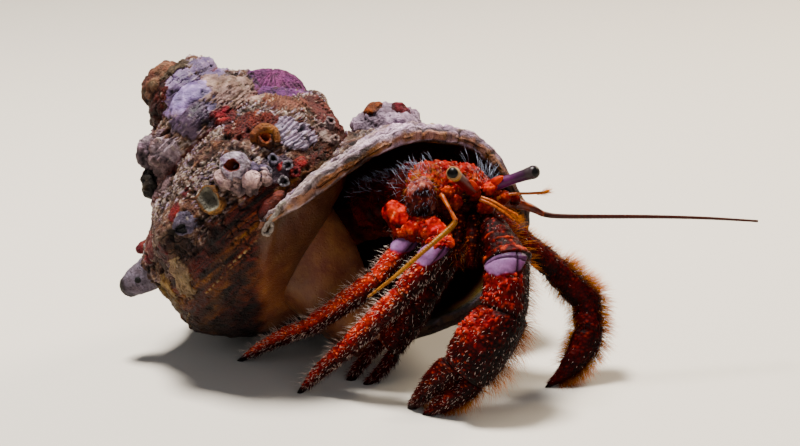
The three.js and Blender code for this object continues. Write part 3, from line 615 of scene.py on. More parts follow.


# Paints and roughens shell points: ground with pale grains on the sunny side, dark streaked bands below, partly
# painted shade, each growth where its frayed egg shape reaches, painted shade in hollows, away from the sun and near
# the floor, and the smooth inner lip.
def dressShell(p, normals, turn, share):
    look = shellLook
    along, across = shellMap(turn, share)
    streak = placed(along / 6, across / 1.6, 0)
    facing = normals @ unit(look["light"]) + 0.35 * layered(p, 5, 2, 25)
    sunny = ease(-0.35, 0.3, facing)
    warp = 0.7 * noise(p / 1.7, 39)
    near, _, mark = cells(placed(along / 1.1 + warp, across / 0.72 - warp, 0), 1, 27)
    grain = ease(0.72, 0.34, near + 0.35 * layered(p, 0.8, 2, 22))
    grain = grain * ease(-0.42, -0.05, layered(p, 1.8, 3, 40))
    sandShade = mix(0.85, 1.25, 0.5 + 0.9 * layered(p, 2.2, 3, 20))
    sandy = ease(0.62, 0.52, share + 0.06 * layered(p, 6, 3, 26)) * sunny
    sandy = sandy * ease(-0.4, 0.05, layered(p, 6, 4, 24))
    height = crustHeight(p, turn, share)
    sand = scaled(blended(look["sand"], mark + 0.35 * layered(p, 4, 3, 23)), sandShade)
    tint = laidOver(mottled(look["ground"], p, 3, 4, 31, 0.9), sand, grain * sandy)
    height = height * mix(1, 0.7, sandy) + look["grainHeight"] * (grain * (0.4 + mark) - 0.4) * sandy

    # The dark lower half, partly its own dark colour and partly painted shade that fades where it faces the sun, its
    # amber bands and its row of beads.
    lower = ease(0.5, 0.58, share + 0.07 * layered(p, 6, 3, 28)) * ease(1, 0.4, facing)
    lowerShaded = mottled(look["lowerShaded"], streak, 1, 4, 29, 1.1, 0.45)
    wander = share + 0.05 * layered(streak / 2, 1, 3, 30)
    for place, width in look["amberBands"]:
        band = bell(wander, place, width) * ease(-0.5, 0.1, layered(streak, 1.4, 3, 34))
        lowerShaded = laidOver(lowerShaded, mottled(look["amber"], streak, 0.8, 3, 35, 0.9), band)
    tint = laidOver(tint, lowerShaded, lower)
    gloss = mix(np.full(p.shape[:-1], 0.05), 0.2, lower)
    height = mix(height, 0.45 * height + 0.4 * layered(streak, 1, 3, 36), lower)
    bead = bell(share, look["beadRow"] + 0.008 * noise(streak, 37), 0.006)
    bead = bead * ease(0.42, 0.2, np.abs(along / 1.5 % 1 - 0.5))
    bead = bead * ease(-0.5, 0, noise(streak * 2, 38))
    tint = laidOver(tint, look["beads"], bead * 0.9)
    height += 0.35 * bead

    # Each growth or stain, inside a frayed egg shape.
    for seed, (name, (centre, reach, codes, shine, lift)) in enumerate(shellPatches.items()):
        far = np.linalg.norm((p - np.array(centre)) / np.array(reach), axis=-1)
        chosen = far < 1.75
        if not chosen.any():
            continue
        here = p[chosen]
        frayed = far[chosen] + look["frayed"] * layered(here, 2.8, 4, 50 + seed) + 0.2 * (mark[chosen] - 0.5)
        amount = ease(1.04, 0.96, frayed)
        texture = layered(here, 1.3, 4, 90 + seed)
        if name in shellRibs:
            lines = math.pi * across[chosen] / shellRibs[name] + 2.4 * noise(here / 3, seed)
            ridge = np.abs(np.sin(lines)) - 0.6
            texture = 0.6 * texture + 0.9 * ridge
            height[chosen] += 0.55 * ridge * amount
        own = blended(codes, 0.5 + 1.1 * texture) * look["growthShade"]
        tint[chosen] = laidOver(tint[chosen], own, amount)
        gloss[chosen] = mix(gloss[chosen], shine, amount)
        height[chosen] = mix(height[chosen], lift + height[chosen] * (1 - 0.7 * shine), amount)

    # Grime, cracks with painted shade, pale flecks and pores, then painted shade in the pores and hollows, painted
    # light on the crests, and painted shade on the side away from the sun and near the floor.
    grime = 0.5 + 0.9 * layered(p, 3.6, 4, 41)
    crack = veins(p, 3, 3, 42, 0.07) * ease(-0.2, 0.2, noise(p / 6, 43))
    shaken = p + 0.5 * noise(p / 0.9, 44)[..., None]
    fleck = spots(shaken, 1, 45, 0.42, 0.25, 0.84) * (1 - 0.6 * gloss)
    tint = laidOver(scaled(tint, mix(*look["grime"], grime)), look["fleck"], fleck * (0.5 - 0.3 * lower))
    tint = scaled(tint, 1 - look["crackShade"] * crack)
    height = height - 0.35 * crack + 0.15 * fleck
    hole = spots(p, 2.4, 33, 0.17, 0.12, 0.35) * ease(0.3, 0.6, gloss)
    height -= 0.5 * hole
    hollow = ease(-0.8, 0.35, height - 0.3 * layered(p, 6, 2, 1))
    tint = scaled(tint, mix(*look["hollowShade"], hollow) * (1 - 0.85 * hole))
    tint = scaled(tint, mix(look["awayShade"], 1, ease(-0.7, 0.25, facing)))
    tint = scaled(tint, mix(look["floorShade"], 1, ease(2, 18, p[..., 2])))

    # The smooth inner lip with its painted light and shade, and the wall deep inside the mouth, dark partly from
    # painted shade.
    calm = ease(-1.4, 1.2, p[..., 0] - look["calmSide"] + 1.6 * noise(p / 4, 61))
    calm = calm * ease(0.64, 0.72, share + 0.02 * noise(p / 3, 62)) * ease(-0.44, -0.5, turn)
    near = ease(0.76, 0.67, share + 0.03 * noise(p / 4, 66)) * ease(-0.7, -0.78, turn)
    callus, shade, fan = callusTint(p, 2.5, 0.82)
    callus = scaled(laidOver(callus, look["callus"][2], near), shade)
    tint = laidOver(tint, callus, calm)
    gloss = mix(gloss, 0.92, calm)
    height = mix(height, 0.08 * layered(p, 5, 2, 64) + 0.35 * fan, calm)
    inside = ease(-0.86, -0.95, turn) * ease(0.5, 0.6, share)
    tint = laidOver(tint, mottled(look["mouth"], p, 3, 3, 65, 0.5), inside)
    return p + scaled(normals, height), tint, gloss


# Grid shares from 0 to 1 that lie closer together half way.
def closerMiddle(count):
    x = np.linspace(0, 1, count)
    return x + 0.35 * np.sin(math.tau * x) / math.tau


# Points of the bare shell, and its normals away from the nearest place on the spiral's axis.
def bareShell(turn, share):
    bare = shellSurface(turn, share)
    onAxis = spiralTip + scaled(spiralAxis, (bare - spiralTip) @ spiralAxis)
    return bare, gridNormals(bare, onAxis, closed=False)


# Closed whorls behind the mouth: the outline swept round between two turns. The ends are sunk a little, so
# that each stretch dives under the next.
def bodyWhorls(first, last, rows, columns):
    turns = np.linspace(first, last, rows)
    turn, share = np.meshgrid(turns, closerMiddle(columns), indexing="ij")
    bare, normals = bareShell(turn, share)
    dressed, tint, gloss = dressShell(bare, normals, turn, share)
    fade = ease(last - 0.07, last - 0.03, turn) if last > -0.5 else ease(last - 0.02, last, turn)
    if first > -3:
        fade = np.maximum(fade, ease(first + 0.02, first, turn))
    dressed = dressed - scaled(normals, shellLook["tuck"] * fade)
    foot, crown = (spiralPoint(turns, np.full(rows, 1.2), np.full(rows, h)) for h in (80.0, 48.0))
    rings = np.concatenate([dressed, foot[:, None], crown[:, None]], 1)
    tint = np.concatenate([tint, tint[:, -1:], tint[:, :1]], 1)
    gloss = np.concatenate([gloss, gloss[:, -1:], gloss[:, :1]], 1)
    return tubePart(rings, tint, gloss)


# Lime of the outer lip in plates along the edge. Gives its colour, its height in mm, the plates and the cracks.
def lipLime(bare, share, toLip, thin):
    look = shellLook
    plates = placed(toLip / look["plateWidth"] + 1.5 * noise(bare / 5, 72), share * 15, 0)
    layers = noise(plates, 73) + 0.45 * noise(plates * 2.3, 70)
    crack = ease(-0.05, -0.5, layers) * mix(1, 0.6, ease(0.28, 0.4, share))
    lime = blended(look["lip"], 0.5 + 0.8 * layered(bare, 3, 4, 74) + 0.25 * layers)
    lime = laidOver(lime, mottled(look["sand"], bare, 1.6, 3, 68), 0.75 * ease(0.3, 0.12, share))
    fine = layered(placed(toLip / 0.5, share * 40, 0), 1, 3, 82) + layered(bare, 1.3, 3, 83)
    # Painted shade where the plates lie low, and painted light where they stand up.
    lime = scaled(lime, mix(0.5, 1.1, ease(-0.5, 0.45, fine + 0.5 * layers)))
    lime = laidOver(lime, look["lipRust"], 0.6 * ease(0.2, 0.6, layered(bare, 3.4, 3, 84)))
    split = noise(placed(toLip / 1.1 + 0.8 * noise(bare / 2, 87), share * 12, 0), 88)
    split = ease(0.14, 0.04, np.abs(split)) * ease(-0.6, 0, noise(bare / 3, 89))
    split = np.maximum(split, spots(bare, 1.7, 90, 0.3, 0.16, 0.5))
    crack = np.maximum(crack, split)
    lime = laidOver(lime, look["lipCrack"], crack * 0.92)
    lime = scaled(lime, 1.05 - 0.8 * ease(0.53, 0.66, share))
    margin = toLip + 0.3 * noise(bare / 2.5, 85)
    tan = scaled(mottled(look["lipTan"], bare, 1.2, 3, 86), mix(1, 0.3, thin))
    lime = laidOver(lime, tan, ease(0.45, 0.25, margin) * 0.7)
    lime = laidOver(lime, look["lipLine"], 0.75 * bell(margin, 0.85, 0.2))
    lift = look["layers"] * (layers * 0.7 - 0.3 * crack) - 0.45 * split + 0.6 * layered(bare, 2.2, 3, 76)
    return lime, lift + 0.3 * fine, layers, crack


# Colour of the wall inside the mouth: painted shade that darkens with depth, a green edge below, and a striped margin
# under the lip.
def liningTint(bare, share, toLip, thin, crack, lime):
    look = shellLook
    depth = ease(1, 12, toLip)
    lining = blended(look["mouth"], 0.1 + 0.8 * depth + 0.4 * layered(bare, 4, 2, 78))
    edge = ease(12, 3, toLip + 2 * noise(bare / 3, 79)) * ease(0.62, 0.8, share)
    lining = laidOver(lining, look["mouthEdge"], edge * 0.8)
    rimMark = toLip + 0.35 * noise(bare / 1.5, 75)
    line = bell(rimMark, 1.15, 0.16)
    stripe = scaled(mottled(look["lipStripe"], bare, 1.2, 3, 67), 1 - 0.75 * line - 0.4 * crack)
    stripe = laidOver(stripe, look["lipThin"], thin)
    lining = laidOver(lining, stripe, ease(1.9, 1.4, rimMark))
    return laidOver(lining, lime, ease(1, 0.7, rimMark))


# The open part of the last whorl: outside and inside grids, drawn together in a half round at the lip. It is
# made as two stretches; the first one's end is drawn in, so that the lip's finer grid covers it.
def lastWhorl(first, last, rows, columns):
    u, share = np.meshgrid(np.linspace(first, last, rows), closerMiddle(columns), indexing="ij")
    drawn = ease(last - 0.008, last - 0.002, u) * (last < 1)
    ragged = 0.004 * layered(placed(share * 26, 0, 0), 1, 3, 69)
    end = lipTurn(share) + ragged * ease(0.75, 0.6, share)
    turn = shellLook["openFrom"] + (end - shellLook["openFrom"]) * u
    bare, normals = bareShell(turn, share)
    dressed, tint, gloss = dressShell(bare, normals, turn, share)
    toLip = (end - turn) * math.tau * shellLook["lipRadius"]  # mm to the edge of the lip
    thin = ease(0.5, 0.66, share)
    reach = mix(9, 18, ease(0.42, 0.3, share))
    band = ease(reach + 1.5, reach - 1.5, toLip + 1.8 * noise(bare / 5, 71)) * (1 - 0.6 * thin)
    lime, lift, layers, crack = lipLime(bare, share, toLip, thin)
    tint = laidOver(tint, lime, band)
    gloss = mix(gloss, 0.2, band)
    dressed = laidOver(dressed, bare + scaled(normals, lift * mix(1, 0.4, thin)), band)
    wall = mix(1.7 * shellForm["turnRatio"] ** turn, shellForm["lipWall"], ease(-0.07, 0.02, turn))
    wall = wall * mix(0.4, 1, ease(0, 0.1, share))
    rounded = np.clip(1 - toLip / shellLook["lipRound"], 0, 1)
    pinch = 0.5 * wall * (1 - np.sqrt(1 - rounded**2 * 0.999))
    rough = 0.16 * layered(bare, 1.6, 3, 77) + 0.2 * layers * ease(3, 1, toLip)
    outside = dressed - scaled(normals, pinch + 0.5 * drawn)
    inside = bare - scaled(normals, wall - pinch - 0.3 * drawn + rough)
    lining = liningTint(bare, share, toLip, thin, crack, lime)
    tints = np.concatenate([tint.reshape(-1, 3), lining.reshape(-1, 3)])
    shines = np.concatenate([gloss.ravel(), np.full(gloss.size, 0.55)])
    return slabPart(outside, inside, tints, shines)


# The pillar inside the mouth: a round body along the axis whose width swells and shrinks, with one soft fold.
def columella():
    s, angle = ringGrid(110, 72)
    radius = np.interp(s, [0, 0.2, 0.45, 0.7, 0.9, 1], [9, 10.5, 9.8, 7.5, 5, 3])
    radius = radius + 0.5 * np.sin(angle * 3 + s * 3) * ease(0, 0.3, s)
    out = ovals(0, mouthSide, nearSide, angle, 1)  # the direction away from the axis
    rings = spiralTip + scaled(spiralAxis, 44 + 35 * s) + scaled(out, radius)
    callus, shade, _ = callusTint(rings, 3, 2.2)
    # Painted shade on the side that looks towards -X, on top of the callus's painted light and shade that change with
    # height.
    shadedSide = ease(0.1, 0.9, out @ unit((-0.9, -0.25, 0.3)))
    return tubePart(rings, scaled(scaled(callus, shade), mix(1, 0.4, shadedSide)), 0.92)


# A round lump of old growth: a ball stretched along X, Y and Z, craggy by noise or ribbed round its axis. Its
# underside below the centre keeps only the share that sink gives.
def growthBall(centre, reach, codes, lift, shine, seed, ribs=0, axis=(0, 0, 1), ribHeight=0.0, rows=44, sink=1.0):
    v, a = ringGrid(rows, rows * 2, 0.03, 0.97)
    axis = unit(axis)
    side, other = sideways(axis, (0.3, 1, 0.2))
    ball = ovals(scaled(axis, np.cos(math.pi * v)), side, other, a, np.sin(math.pi * v))
    points = np.array(centre) + ball * np.array(reach)
    bump = lift * (2.2 * layered(points, 3.4, 4, seed) - 0.9 * veins(points, 3.2, 3, seed + 5, 0.22))
    bump = bump + 0.5 * lift * spots(points, 1.7, seed, 0.6, 0.1)
    if ribs:
        bump = bump * 0.4 + ribHeight * np.abs(np.sin(a * ribs / 2 + 1.5 * noise(points / 3, seed + 1)))
    pore = spots(points, 1.9, seed + 6, 0.24, 0.14, 0.5)
    bump = bump - 0.5 * pore
    hollow = ease(-1.2 * lift, 0.9 * lift, bump) * (1 - 0.7 * pore)
    sunny = ease(-0.6, 0.5, ball @ unit(shellLook["light"]))
    points = points + scaled(ball, bump)
    points[..., 2] += (1 - sink) * np.maximum(centre[2] - points[..., 2], 0)
    # Colours, with painted shade in the hollows and pores and on the side away from the sun, and painted light on the
    # crests and on the sunny side.
    shade = 0.5 + 0.9 * layered(points, 2.2, 3, seed + 2) + (0.4 * (bump / max(ribHeight, 0.01) - 0.5) if ribs else 0)
    return tubePart(points, scaled(blended(codes, shade), mix(0.35, 1.1, hollow) * mix(0.5, 1.1, sunny)), shine)


# Three sizes joined by the parabola that runs through them at the start, the middle and the end.
def ofThree(sizes, s):
    a, b, c = sizes
    pull = 2 * b - (a + c) / 2
    return a * (1 - s) ** 2 + 2 * pull * s * (1 - s) + c * s**2


# Scale rows round a limb: scattered centres in a brick pattern that closes on itself. Gives the distance to
# the nearest and second nearest centre, a number for the nearest scale, and how far ahead of its centre it is.
def scales(a, b, around, seed, loose=0.55):
    first = np.full(a.shape, 9.0)
    second, mark, ahead = first.copy(), first.copy(), first.copy()
    rowHere = np.floor(a).astype(np.int64)
    for di in (-1, 0, 1):
        i = rowHere + di
        stagger = 0.5 * (i & 1)
        columnHere = np.floor(b - stagger).astype(np.int64)
        for dj in (-1, 0, 1):
            j = columnHere + dj
            ring = np.mod(j, around)
            da = a - i - 0.5 - loose * (scatter(i, ring, ring * 0, seed) - 0.5)
            db = b - j - 0.5 - stagger - loose * (scatter(i, ring, ring * 0, seed + 1) - 0.5)
            d = np.sqrt(da**2 + db**2)
            nearer = d < first
            second = np.where(nearer, first, np.minimum(second, d))
            mark = np.where(nearer, scatter(i, ring, ring * 0, seed + 2), mark)
            ahead = np.where(nearer, da, ahead)
            first = np.where(nearer, d, first)
    return first, second, mark, ahead


# The frames of a limb's pieces: ends, the common sideways direction, the mitre planes halfway between two
# directions, and how far the ends stand back from them in mm.
def limbFrames(joints, lastPlane=None):
    joints = np.asarray(joints, float)
    along = unit(np.diff(joints, axis=0))
    across = unit(np.cross(along[:-1], along[1:]).sum(0))
    frames = []
    for i, direction in enumerate(along):
        isLast = i + 1 == len(along)
        start = direction if i == 0 else unit(direction + along[i - 1])
        if isLast:
            end = direction if lastPlane is None else unit(lastPlane)
        else:
            end = unit(direction + along[i + 1])
        gaps = (0 if i == 0 else -0.15, 0 if isLast else -0.05)
        frames.append((joints[i], joints[i + 1], across, start, end, gaps))
    return frames


# Along a limb piece, sideways square to that, and their cross product.
def limbSides(frame):
    start, stop, across = frame[:3]
    along = unit(stop - start)
    side = unit(across - along * (across @ along))
    return along, side, np.cross(side, along)


# The angle round a limb piece that looks most towards a direction: the arc tangent of its two sideways parts.
def angleTowards(frame, direction):
    _, side, up = limbSides(frame)
    return math.atan2(np.array(direction, float) @ up, np.array(direction, float) @ side)


# A limb piece as a grid: each lengthwise line runs straight between the two end planes and is bowed by half
# a sine; the section is an oval whose half widths follow ofThree. The ends are drawn in to rounded edges.
def limbGrid(frame, wide, deep, bow, rows, columns, rim, tip, ends):
    start, stop, _, startPlane, endPlane, gaps = frame
    along, side, up = limbSides(frame)
    s, angle = ringGrid(rows, columns)
    roundOff = np.sqrt(np.clip(1 - np.clip(1 - s / 0.05, 0, 1) ** 2, ends, 1))
    far = np.zeros_like(s) if tip else np.clip(1 - (1 - s) / 0.06, 0, 1)
    roundOff = roundOff * np.sqrt(np.clip(1 - far**2, ends, 1))
    shape = roundOff * (1 + rim * bell(s, 0.93, 0.05) * (not tip))
    section = ovals(start, side, up, angle, ofThree(wide, s) * shape, ofThree(deep, s) * shape)
    low = (start - section) @ startPlane / (along @ startPlane) + gaps[0] / abs(along @ startPlane)
    high = (stop - section) @ endPlane / (along @ endPlane) - gaps[1] / abs(along @ endPlane)
    run = low + (high - low) * s
    return section + scaled(up, bow * np.sin(math.pi * s)) + scaled(along, run), s, angle


# Colours and relief of limb armour. Scales stand up towards their front edge; smooth lilac knuckles have none.
armourLook = {
    # gap and groove are painted shade, in the gaps between scales and in the knuckles' grooves
    "gap": "#140302",
    "deep": "#2c0406",
    "red": "#860c0b",
    "orange": "#c63618",
    "pale": "#ee9c80",
    "lilac": ("#44243c", "#74506f", "#98799e"),
    "groove": "#24101c",
    "rim": "#ea6a20",
    "clawTip": "#1c0f0d",
    "shade": 0.3,  # how dark the side away from the light is
    "light": (-0.35, -0.3, 0.89),  # the direction of the painted light: faces that look towards it are painted brighter and more orange, faces away get painted shade
    "scaleHeight": 0.26,
    "grain": 0.05,
    "step": 0.17,  # distance between grid points, mm
    "knuckleReach": 1.15,  # half the angle that a knuckle covers
    "joint": ("#1c0404", "#4a120a"),
}


# Where a piece is smooth and lilac, and the grooves on it: a half oval from the start of the piece round the
# knuckle's angle, with one lengthwise groove and, where band is given, one that crosses it.
def knuckleArea(points, s, angle, reach, at, band, seed):
    half = armourLook["knuckleReach"]
    off = (angle - at + math.pi) % (math.tau) - math.pi
    reach = reach * (1 + 0.12 * noise(points / 0.8, seed + 7)) * np.clip(1 - (off / half) ** 2, 0, 1) ** 0.5
    area = ease(0.05, -0.03, s - reach) * (np.abs(off) < half)
    groove = bell(off, 0.66, 0.07) * area
    if band:
        groove = np.maximum(groove, bell(s, band * (1 + 0.5 * off**2), 0.012) * area)
    return area, groove


# Where a patch of flame-coloured knobs stands: it looks along way, between two shares of the piece's length.
def blazeArea(points, normals, s, angle, length, girth, blaze, seed):
    way, low, high, begin, finish = blaze
    area = ease(low, high, normals @ unit(way) + 0.5 * layered(points, 2.6, 3, seed + 8))
    area = area * ease(begin - 0.06, begin + 0.06, s) * ease(finish + 0.12, finish - 0.06, s)
    around = max(int(girth / 0.9), 5)
    near, _, mark, _ = scales(s * length / 1.25, angle / math.tau * around, around, seed + 9, 0.9)
    knob = ease(0.55, 0.2, near + 0.26 * noise(points / 0.45, seed + 13)) * ease(0.3, 0.6, mark)
    return area, knob, mark


# One piece of limb armour. scale is the size of its scales in mm; bright from 0 to 1 moves red to orange;
# knuckle is how much of its start is smooth lilac on the upper side, and knuckleAngle where that lies; arcs are
# raised stripes across it; fire is its two brightest colours; wash multiplies all but the lilac.
def armourPart(frame, wide, deep, bow=0.0, scale=0.85, bright=0.6, knuckle=0.0, knuckleAngle=0.0, tip=False,
               seed=1, step=armourLook["step"], height=1.0, clawTip=False, paleness=0.5, rim=0.05, blaze=None,
               arcs=(), fire=(armourLook["orange"], armourLook["pale"]), ends=0.8, band=0, wash=(1, 1, 1)):
    look = armourLook
    length = np.linalg.norm(frame[1] - frame[0])
    girth = math.pi * (wide[1] + deep[1])
    rows, columns = int(length / step) + 8, int(girth / step) // 2 * 2
    points, s, angle = limbGrid(frame, wide, deep, bow, rows, columns, rim, tip, ends)
    normals = gridNormals(points, points.mean(1, keepdims=True))
    around = max(int(girth / (scale * 1.05)), 5)
    first, second, mark, ahead = scales(s * length / (scale * 0.9), angle / math.tau * around, around, seed)
    dome = ease(0.6, 0.12, first)
    front = np.clip(0.5 + 0.9 * ahead, 0, 1)
    lit = ease(-0.1, 0.85, normals @ unit(look["light"]))
    smoothArea = np.zeros_like(s)
    if knuckle:
        smoothArea, groove = knuckleArea(points, s, angle, knuckle, knuckleAngle, band, seed)
    if clawTip:
        smoothArea = np.maximum(smoothArea, ease(0.84, 0.93, s))
    raised = dome * (0.35 + 0.65 * front) * (0.6 + 0.7 * mark) * (1 - smoothArea)
    drawnIn = mix(0.4, 1, ease(0, 0.05, s) * (1 if tip else ease(1, 0.96, s)))
    lift = look["scaleHeight"] * height * (raised - 0.35) * drawnIn + look["grain"] * layered(points, 0.5, 2, seed)
    lift = lift + 0.3 * layered(points, 2.4, 3, seed + 12) * drawnIn
    if blaze:
        area, knob, knobMark = blazeArea(points, normals, s, angle, length, girth, blaze, seed)
        area = area * (1 - smoothArea)
        lift = lift + 0.6 * knob * area
    arcMark = np.zeros_like(s)
    broken = ease(-0.15, 0.35, layered(points, 1.8, 3, seed + 15))
    for place, broad, power in arcs:
        arc = bell(s, place - 0.05 * np.cos(angle - knuckleAngle), broad)
        arcMark = np.maximum(arcMark, power * arc)
    lift = lift + 0.5 * arcMark
    if knuckle:
        swell = 0.25 + 0.35 * np.sin(math.pi * np.clip(s / knuckle, 0, 1))
        lift = lift + smoothArea * swell - groove * 0.4
    taper = np.clip(np.minimum(ofThree(wide, s), ofThree(deep, s)) / 1.6, 0.25, 1)
    points = points + scaled(normals, lift * taper)

    # Colours: dark red to bright orange by painted light on faces that look towards the light, knobs and arcs in flame
    # colours, pale tips that are partly painted highlights, and dark gaps of painted shade.
    warm = bright * (0.25 + 0.95 * lit) + 0.35 * layered(points, 2.2, 3, seed + 4) + 0.25 * (mark - 0.5)
    warm = np.clip(warm, 0, 1)
    tint = blended((look["deep"], look["red"], fire[0]), warm)
    # Painted light: brighter on the raised front of each scale, darker elsewhere.
    tint = scaled(tint, mix(0.62, 1.15, front * dome))
    if blaze:
        glow = 0.12 + 0.55 * knob * knobMark + 0.7 * layered(points, 1.3, 2, seed + 10)
        tint = laidOver(tint, 1.3 * paint(look["red"]), area * 0.55)
        tint = laidOver(tint, blended((look["red"], look["orange"], look["pale"]), glow), area * knob)
    # Pale scale tips, partly their own colour and partly a painted highlight where lit.
    paleTipsAndHighlight = ease(0.75, 1.05, raised + 0.25 * mark) * paleness * (0.1 + 0.9 * lit)
    tint = laidOver(tint, fire[1], paleTipsAndHighlight)
    # Painted shade in the gaps between scales.
    gapShade = ease(0.16, 0.02, second - first) * (1 - smoothArea)
    tint = laidOver(tint, look["gap"], gapShade * (0.5 - 0.3 * warm))
    if not tip:
        # The rim's own orange, shown only where lit: partly painted light.
        edge = ease(0.93, 0.97, s) * np.clip(6 * rim, 0, 0.9)
        tint = laidOver(tint, look["rim"], edge * broken * lit)
    # The arcs' flame colours, shown only where lit: partly painted light.
    arcTint = mottled((look["red"], look["rim"], look["pale"]), points, 1.2, 2, seed + 14, middle=0.4)
    tint = laidOver(tint, arcTint, arcMark * lit * broken)
    # Painted shade on the side away from the light and at the start of each piece.
    tint = scaled(tint, mix(look["shade"], 1.08, lit) * mix(0.6, 1, ease(0, 0.05, s))) * np.array(wash)
    if knuckle:
        # The lilac knuckle: brighter where lit and darker at its start, painted light and shade, with painted shade in
        # its groove.
        lilac = blended(look["lilac"], 0.1 + 0.75 * lit + 0.3 * layered(points, 1.5, 2, seed + 5))
        tint = laidOver(tint, scaled(lilac, mix(0.35, 1, ease(0.02, 0.12, s))), smoothArea)
        tint = laidOver(tint, look["groove"], groove * 0.9)
    if clawTip:
        tint = laidOver(tint, look["clawTip"], ease(0.82, 0.93, s))
    made = tubePart(points, tint, mix(0.15 + 0.35 * raised, 0.8, smoothArea))
    return grown(made, points, normals, s, angle, limbSides(frame)[0], smoothArea, length)


# Adds what bristles need: the grid, its normals, its shares and angles, the way they lie and where none grow.
def grown(made, points, normals, s, angle, along, smoothArea=None, length=0.0):
    bare = s * 0 if smoothArea is None else smoothArea
    made.update(grid=points, normals=normals, s=s, angle=angle, along=along, smoothArea=bare, length=length)
    return made


# The soft skin at a joint: a short barrel round the joint whose ends dive inside both pieces.
def softJoint(before, at, after, radius, seed):
    alongIn, alongOut = unit(at - before), unit(after - at)
    t, angle = ringGrid(15, 28, -1, 1)
    share = t[..., None]
    centre = at + np.where(share < 0, share * alongIn, share * alongOut) * radius * 0.95
    side, other = sideways(unit(mix(alongIn, alongOut, (share + 1) / 2)), (0.31, 0.2, 0.93))
    swell = radius * (0.84 - 0.34 * np.abs(t) ** 3 + 0.04 * np.sin(t * 16))
    rings = ovals(centre, side, other, angle, swell)
    return tubePart(rings, mottled(armourLook["joint"], rings, 1.2, 3, seed, 0.6), 0.3)


bristleLook = {
    "white": ("#b08478", "#fff4ea"),
    "gold": ("#6c2404", "#ec902a"),
    "rust": ("#240204", "#741208"),
    "blue": ("#4c4c62", "#c4cce0"),
    "tan": ("#3c1408", "#c89058"),
    "underside": {"white": 1, "gold": 0.85},  # how bright each is on the side away from the light
    "otherUnderside": 0.45,
    "rootDepth": 0.08,  # how deep they start under the skin, mm
}
bristleForms = {}


# Bristles as thin curved spikes: a ring of three at the root, one half way and a point. Each leans from its
# surface's normal towards the lie, bends with the square of its length, and is one patch of the unwrap.
def growBristles(group, roots, normals, lie, places, lengths, width, stand, colours, seed, bend=0.35, wild=0.25):
    rng = np.random.default_rng(seed)
    count = len(roots)
    way = unit(normals * stand + lie * (1 - stand) + wild * rng.normal(size=(count, 3)))
    sag = unit(lie + 0.4 * rng.normal(size=(count, 3)))
    side, other = sideways(way, rng.normal(size=(count, 3)))
    base = roots - normals * bristleLook["rootDepth"]
    low, high = (paint(code) for code in bristleLook[colours])
    underside = bristleLook["underside"].get(colours, bristleLook["otherUnderside"])
    # Painted shade on bristles that grow on faces that look down, less for white and gold.
    shade = rng.uniform(0.6, 1.15, (count, 1)) * mix(underside, 1, ease(-0.5, 0.6, normals[:, 2:]))
    points, tints = [], []
    for t in (0, 0.5):
        centre = base + scaled(way, lengths * t) + scaled(sag, lengths * bend * t**2)
        for k in range(3):
            points.append(ovals(centre, side, other, math.tau * k / 3, np.full(count, width) * (1 - 0.45 * t)))
            tints.append(mix(low, high, t * 1.1) * shade)
    points.append(base + scaled(way, lengths) + scaled(sag, lengths * bend))
    tints.append(high * shade)
    start = 7 * np.arange(count)[:, None]
    quads = np.concatenate([start + np.array([[k, (k + 1) % 3, (k + 1) % 3 + 3, k + 3]]) for k in range(3)])
    ends = [[3, 4, 6], [4, 5, 6], [5, 3, 6], [0, 2, 1]]
    tris = np.concatenate([start + np.array([end]) for end in ends])
    offsets = np.array([[0, 0], [1, 0], [0.5, 1], [0.1, 0.4], [0.9, 0.4], [0.5, 0.7], [0.5, 1]]) * 0.003
    uv = places[:, None, :] * 0.99 + offsets
    form = {"points": np.stack(points, 1).reshape(-1, 3), "quads": quads, "tris": tris,
            "tint": np.stack(tints, 1).reshape(-1, 3), "gloss": np.zeros(7 * count), "uv": uv.reshape(-1, 2)}
    bristleForms.setdefault(group, []).append(form)


# Picks points of an armour part with a chance that follows a weight, and grows bristles there.
def bristlesOn(made, group, atlas, count, weight, length, width, stand, colours, seed, **more):
    rng = np.random.default_rng(seed)
    chance = np.clip(weight, 0, None) * (1 - made["smoothArea"])
    if colours != "rust":
        chance = chance * ease(0.01, 0.05, made["s"]) * ease(0.99, 0.95, made["s"])
    chance = chance.ravel()
    pick = rng.choice(len(chance), size=count, p=chance / chance.sum())
    grid, normals = made["grid"].reshape(-1, 3)[pick], made["normals"].reshape(-1, 3)[pick]
    roots = grid + 0.1 * rng.normal(size=(count, 3)) * (1 - np.abs(normals))
    lie = unit(made["along"] - scaled(normals, normals @ made["along"]))
    number, total = atlas
    places = np.stack([(number + made["angle"].ravel()[pick] / math.tau) / total, made["s"].ravel()[pick]], -1)
    lengths = length * rng.uniform(0.55, 1.2, count)
    growBristles(group, roots, normals, lie, places, lengths, width, stand, colours, seed + 1, **more)


bodyRight = unit((-0.55, -0.83, 0))


# Rings square to a line of centres, with half widths towards the animal's right and half heights upwards.
def hullRings(centre, wide, high, columns):
    along = unit(np.gradient(centre, axis=0))
    up = unit(np.cross(bodyRight, along))
    side = unit(np.cross(along, up))
    s, angle = ringGrid(len(centre), columns)
    return ovals(centre[:, None], side[:, None], up[:, None], angle, wide[:, None], high[:, None]), s, angle


# A body through rows of X, Y, Z, half width and half height, joined by a smooth curve.
def hullGrid(table, rows, columns):
    run = through(table, np.linspace(0, 1, rows))
    return hullRings(run[:, :3], run[:, 3], run[:, 4], columns)


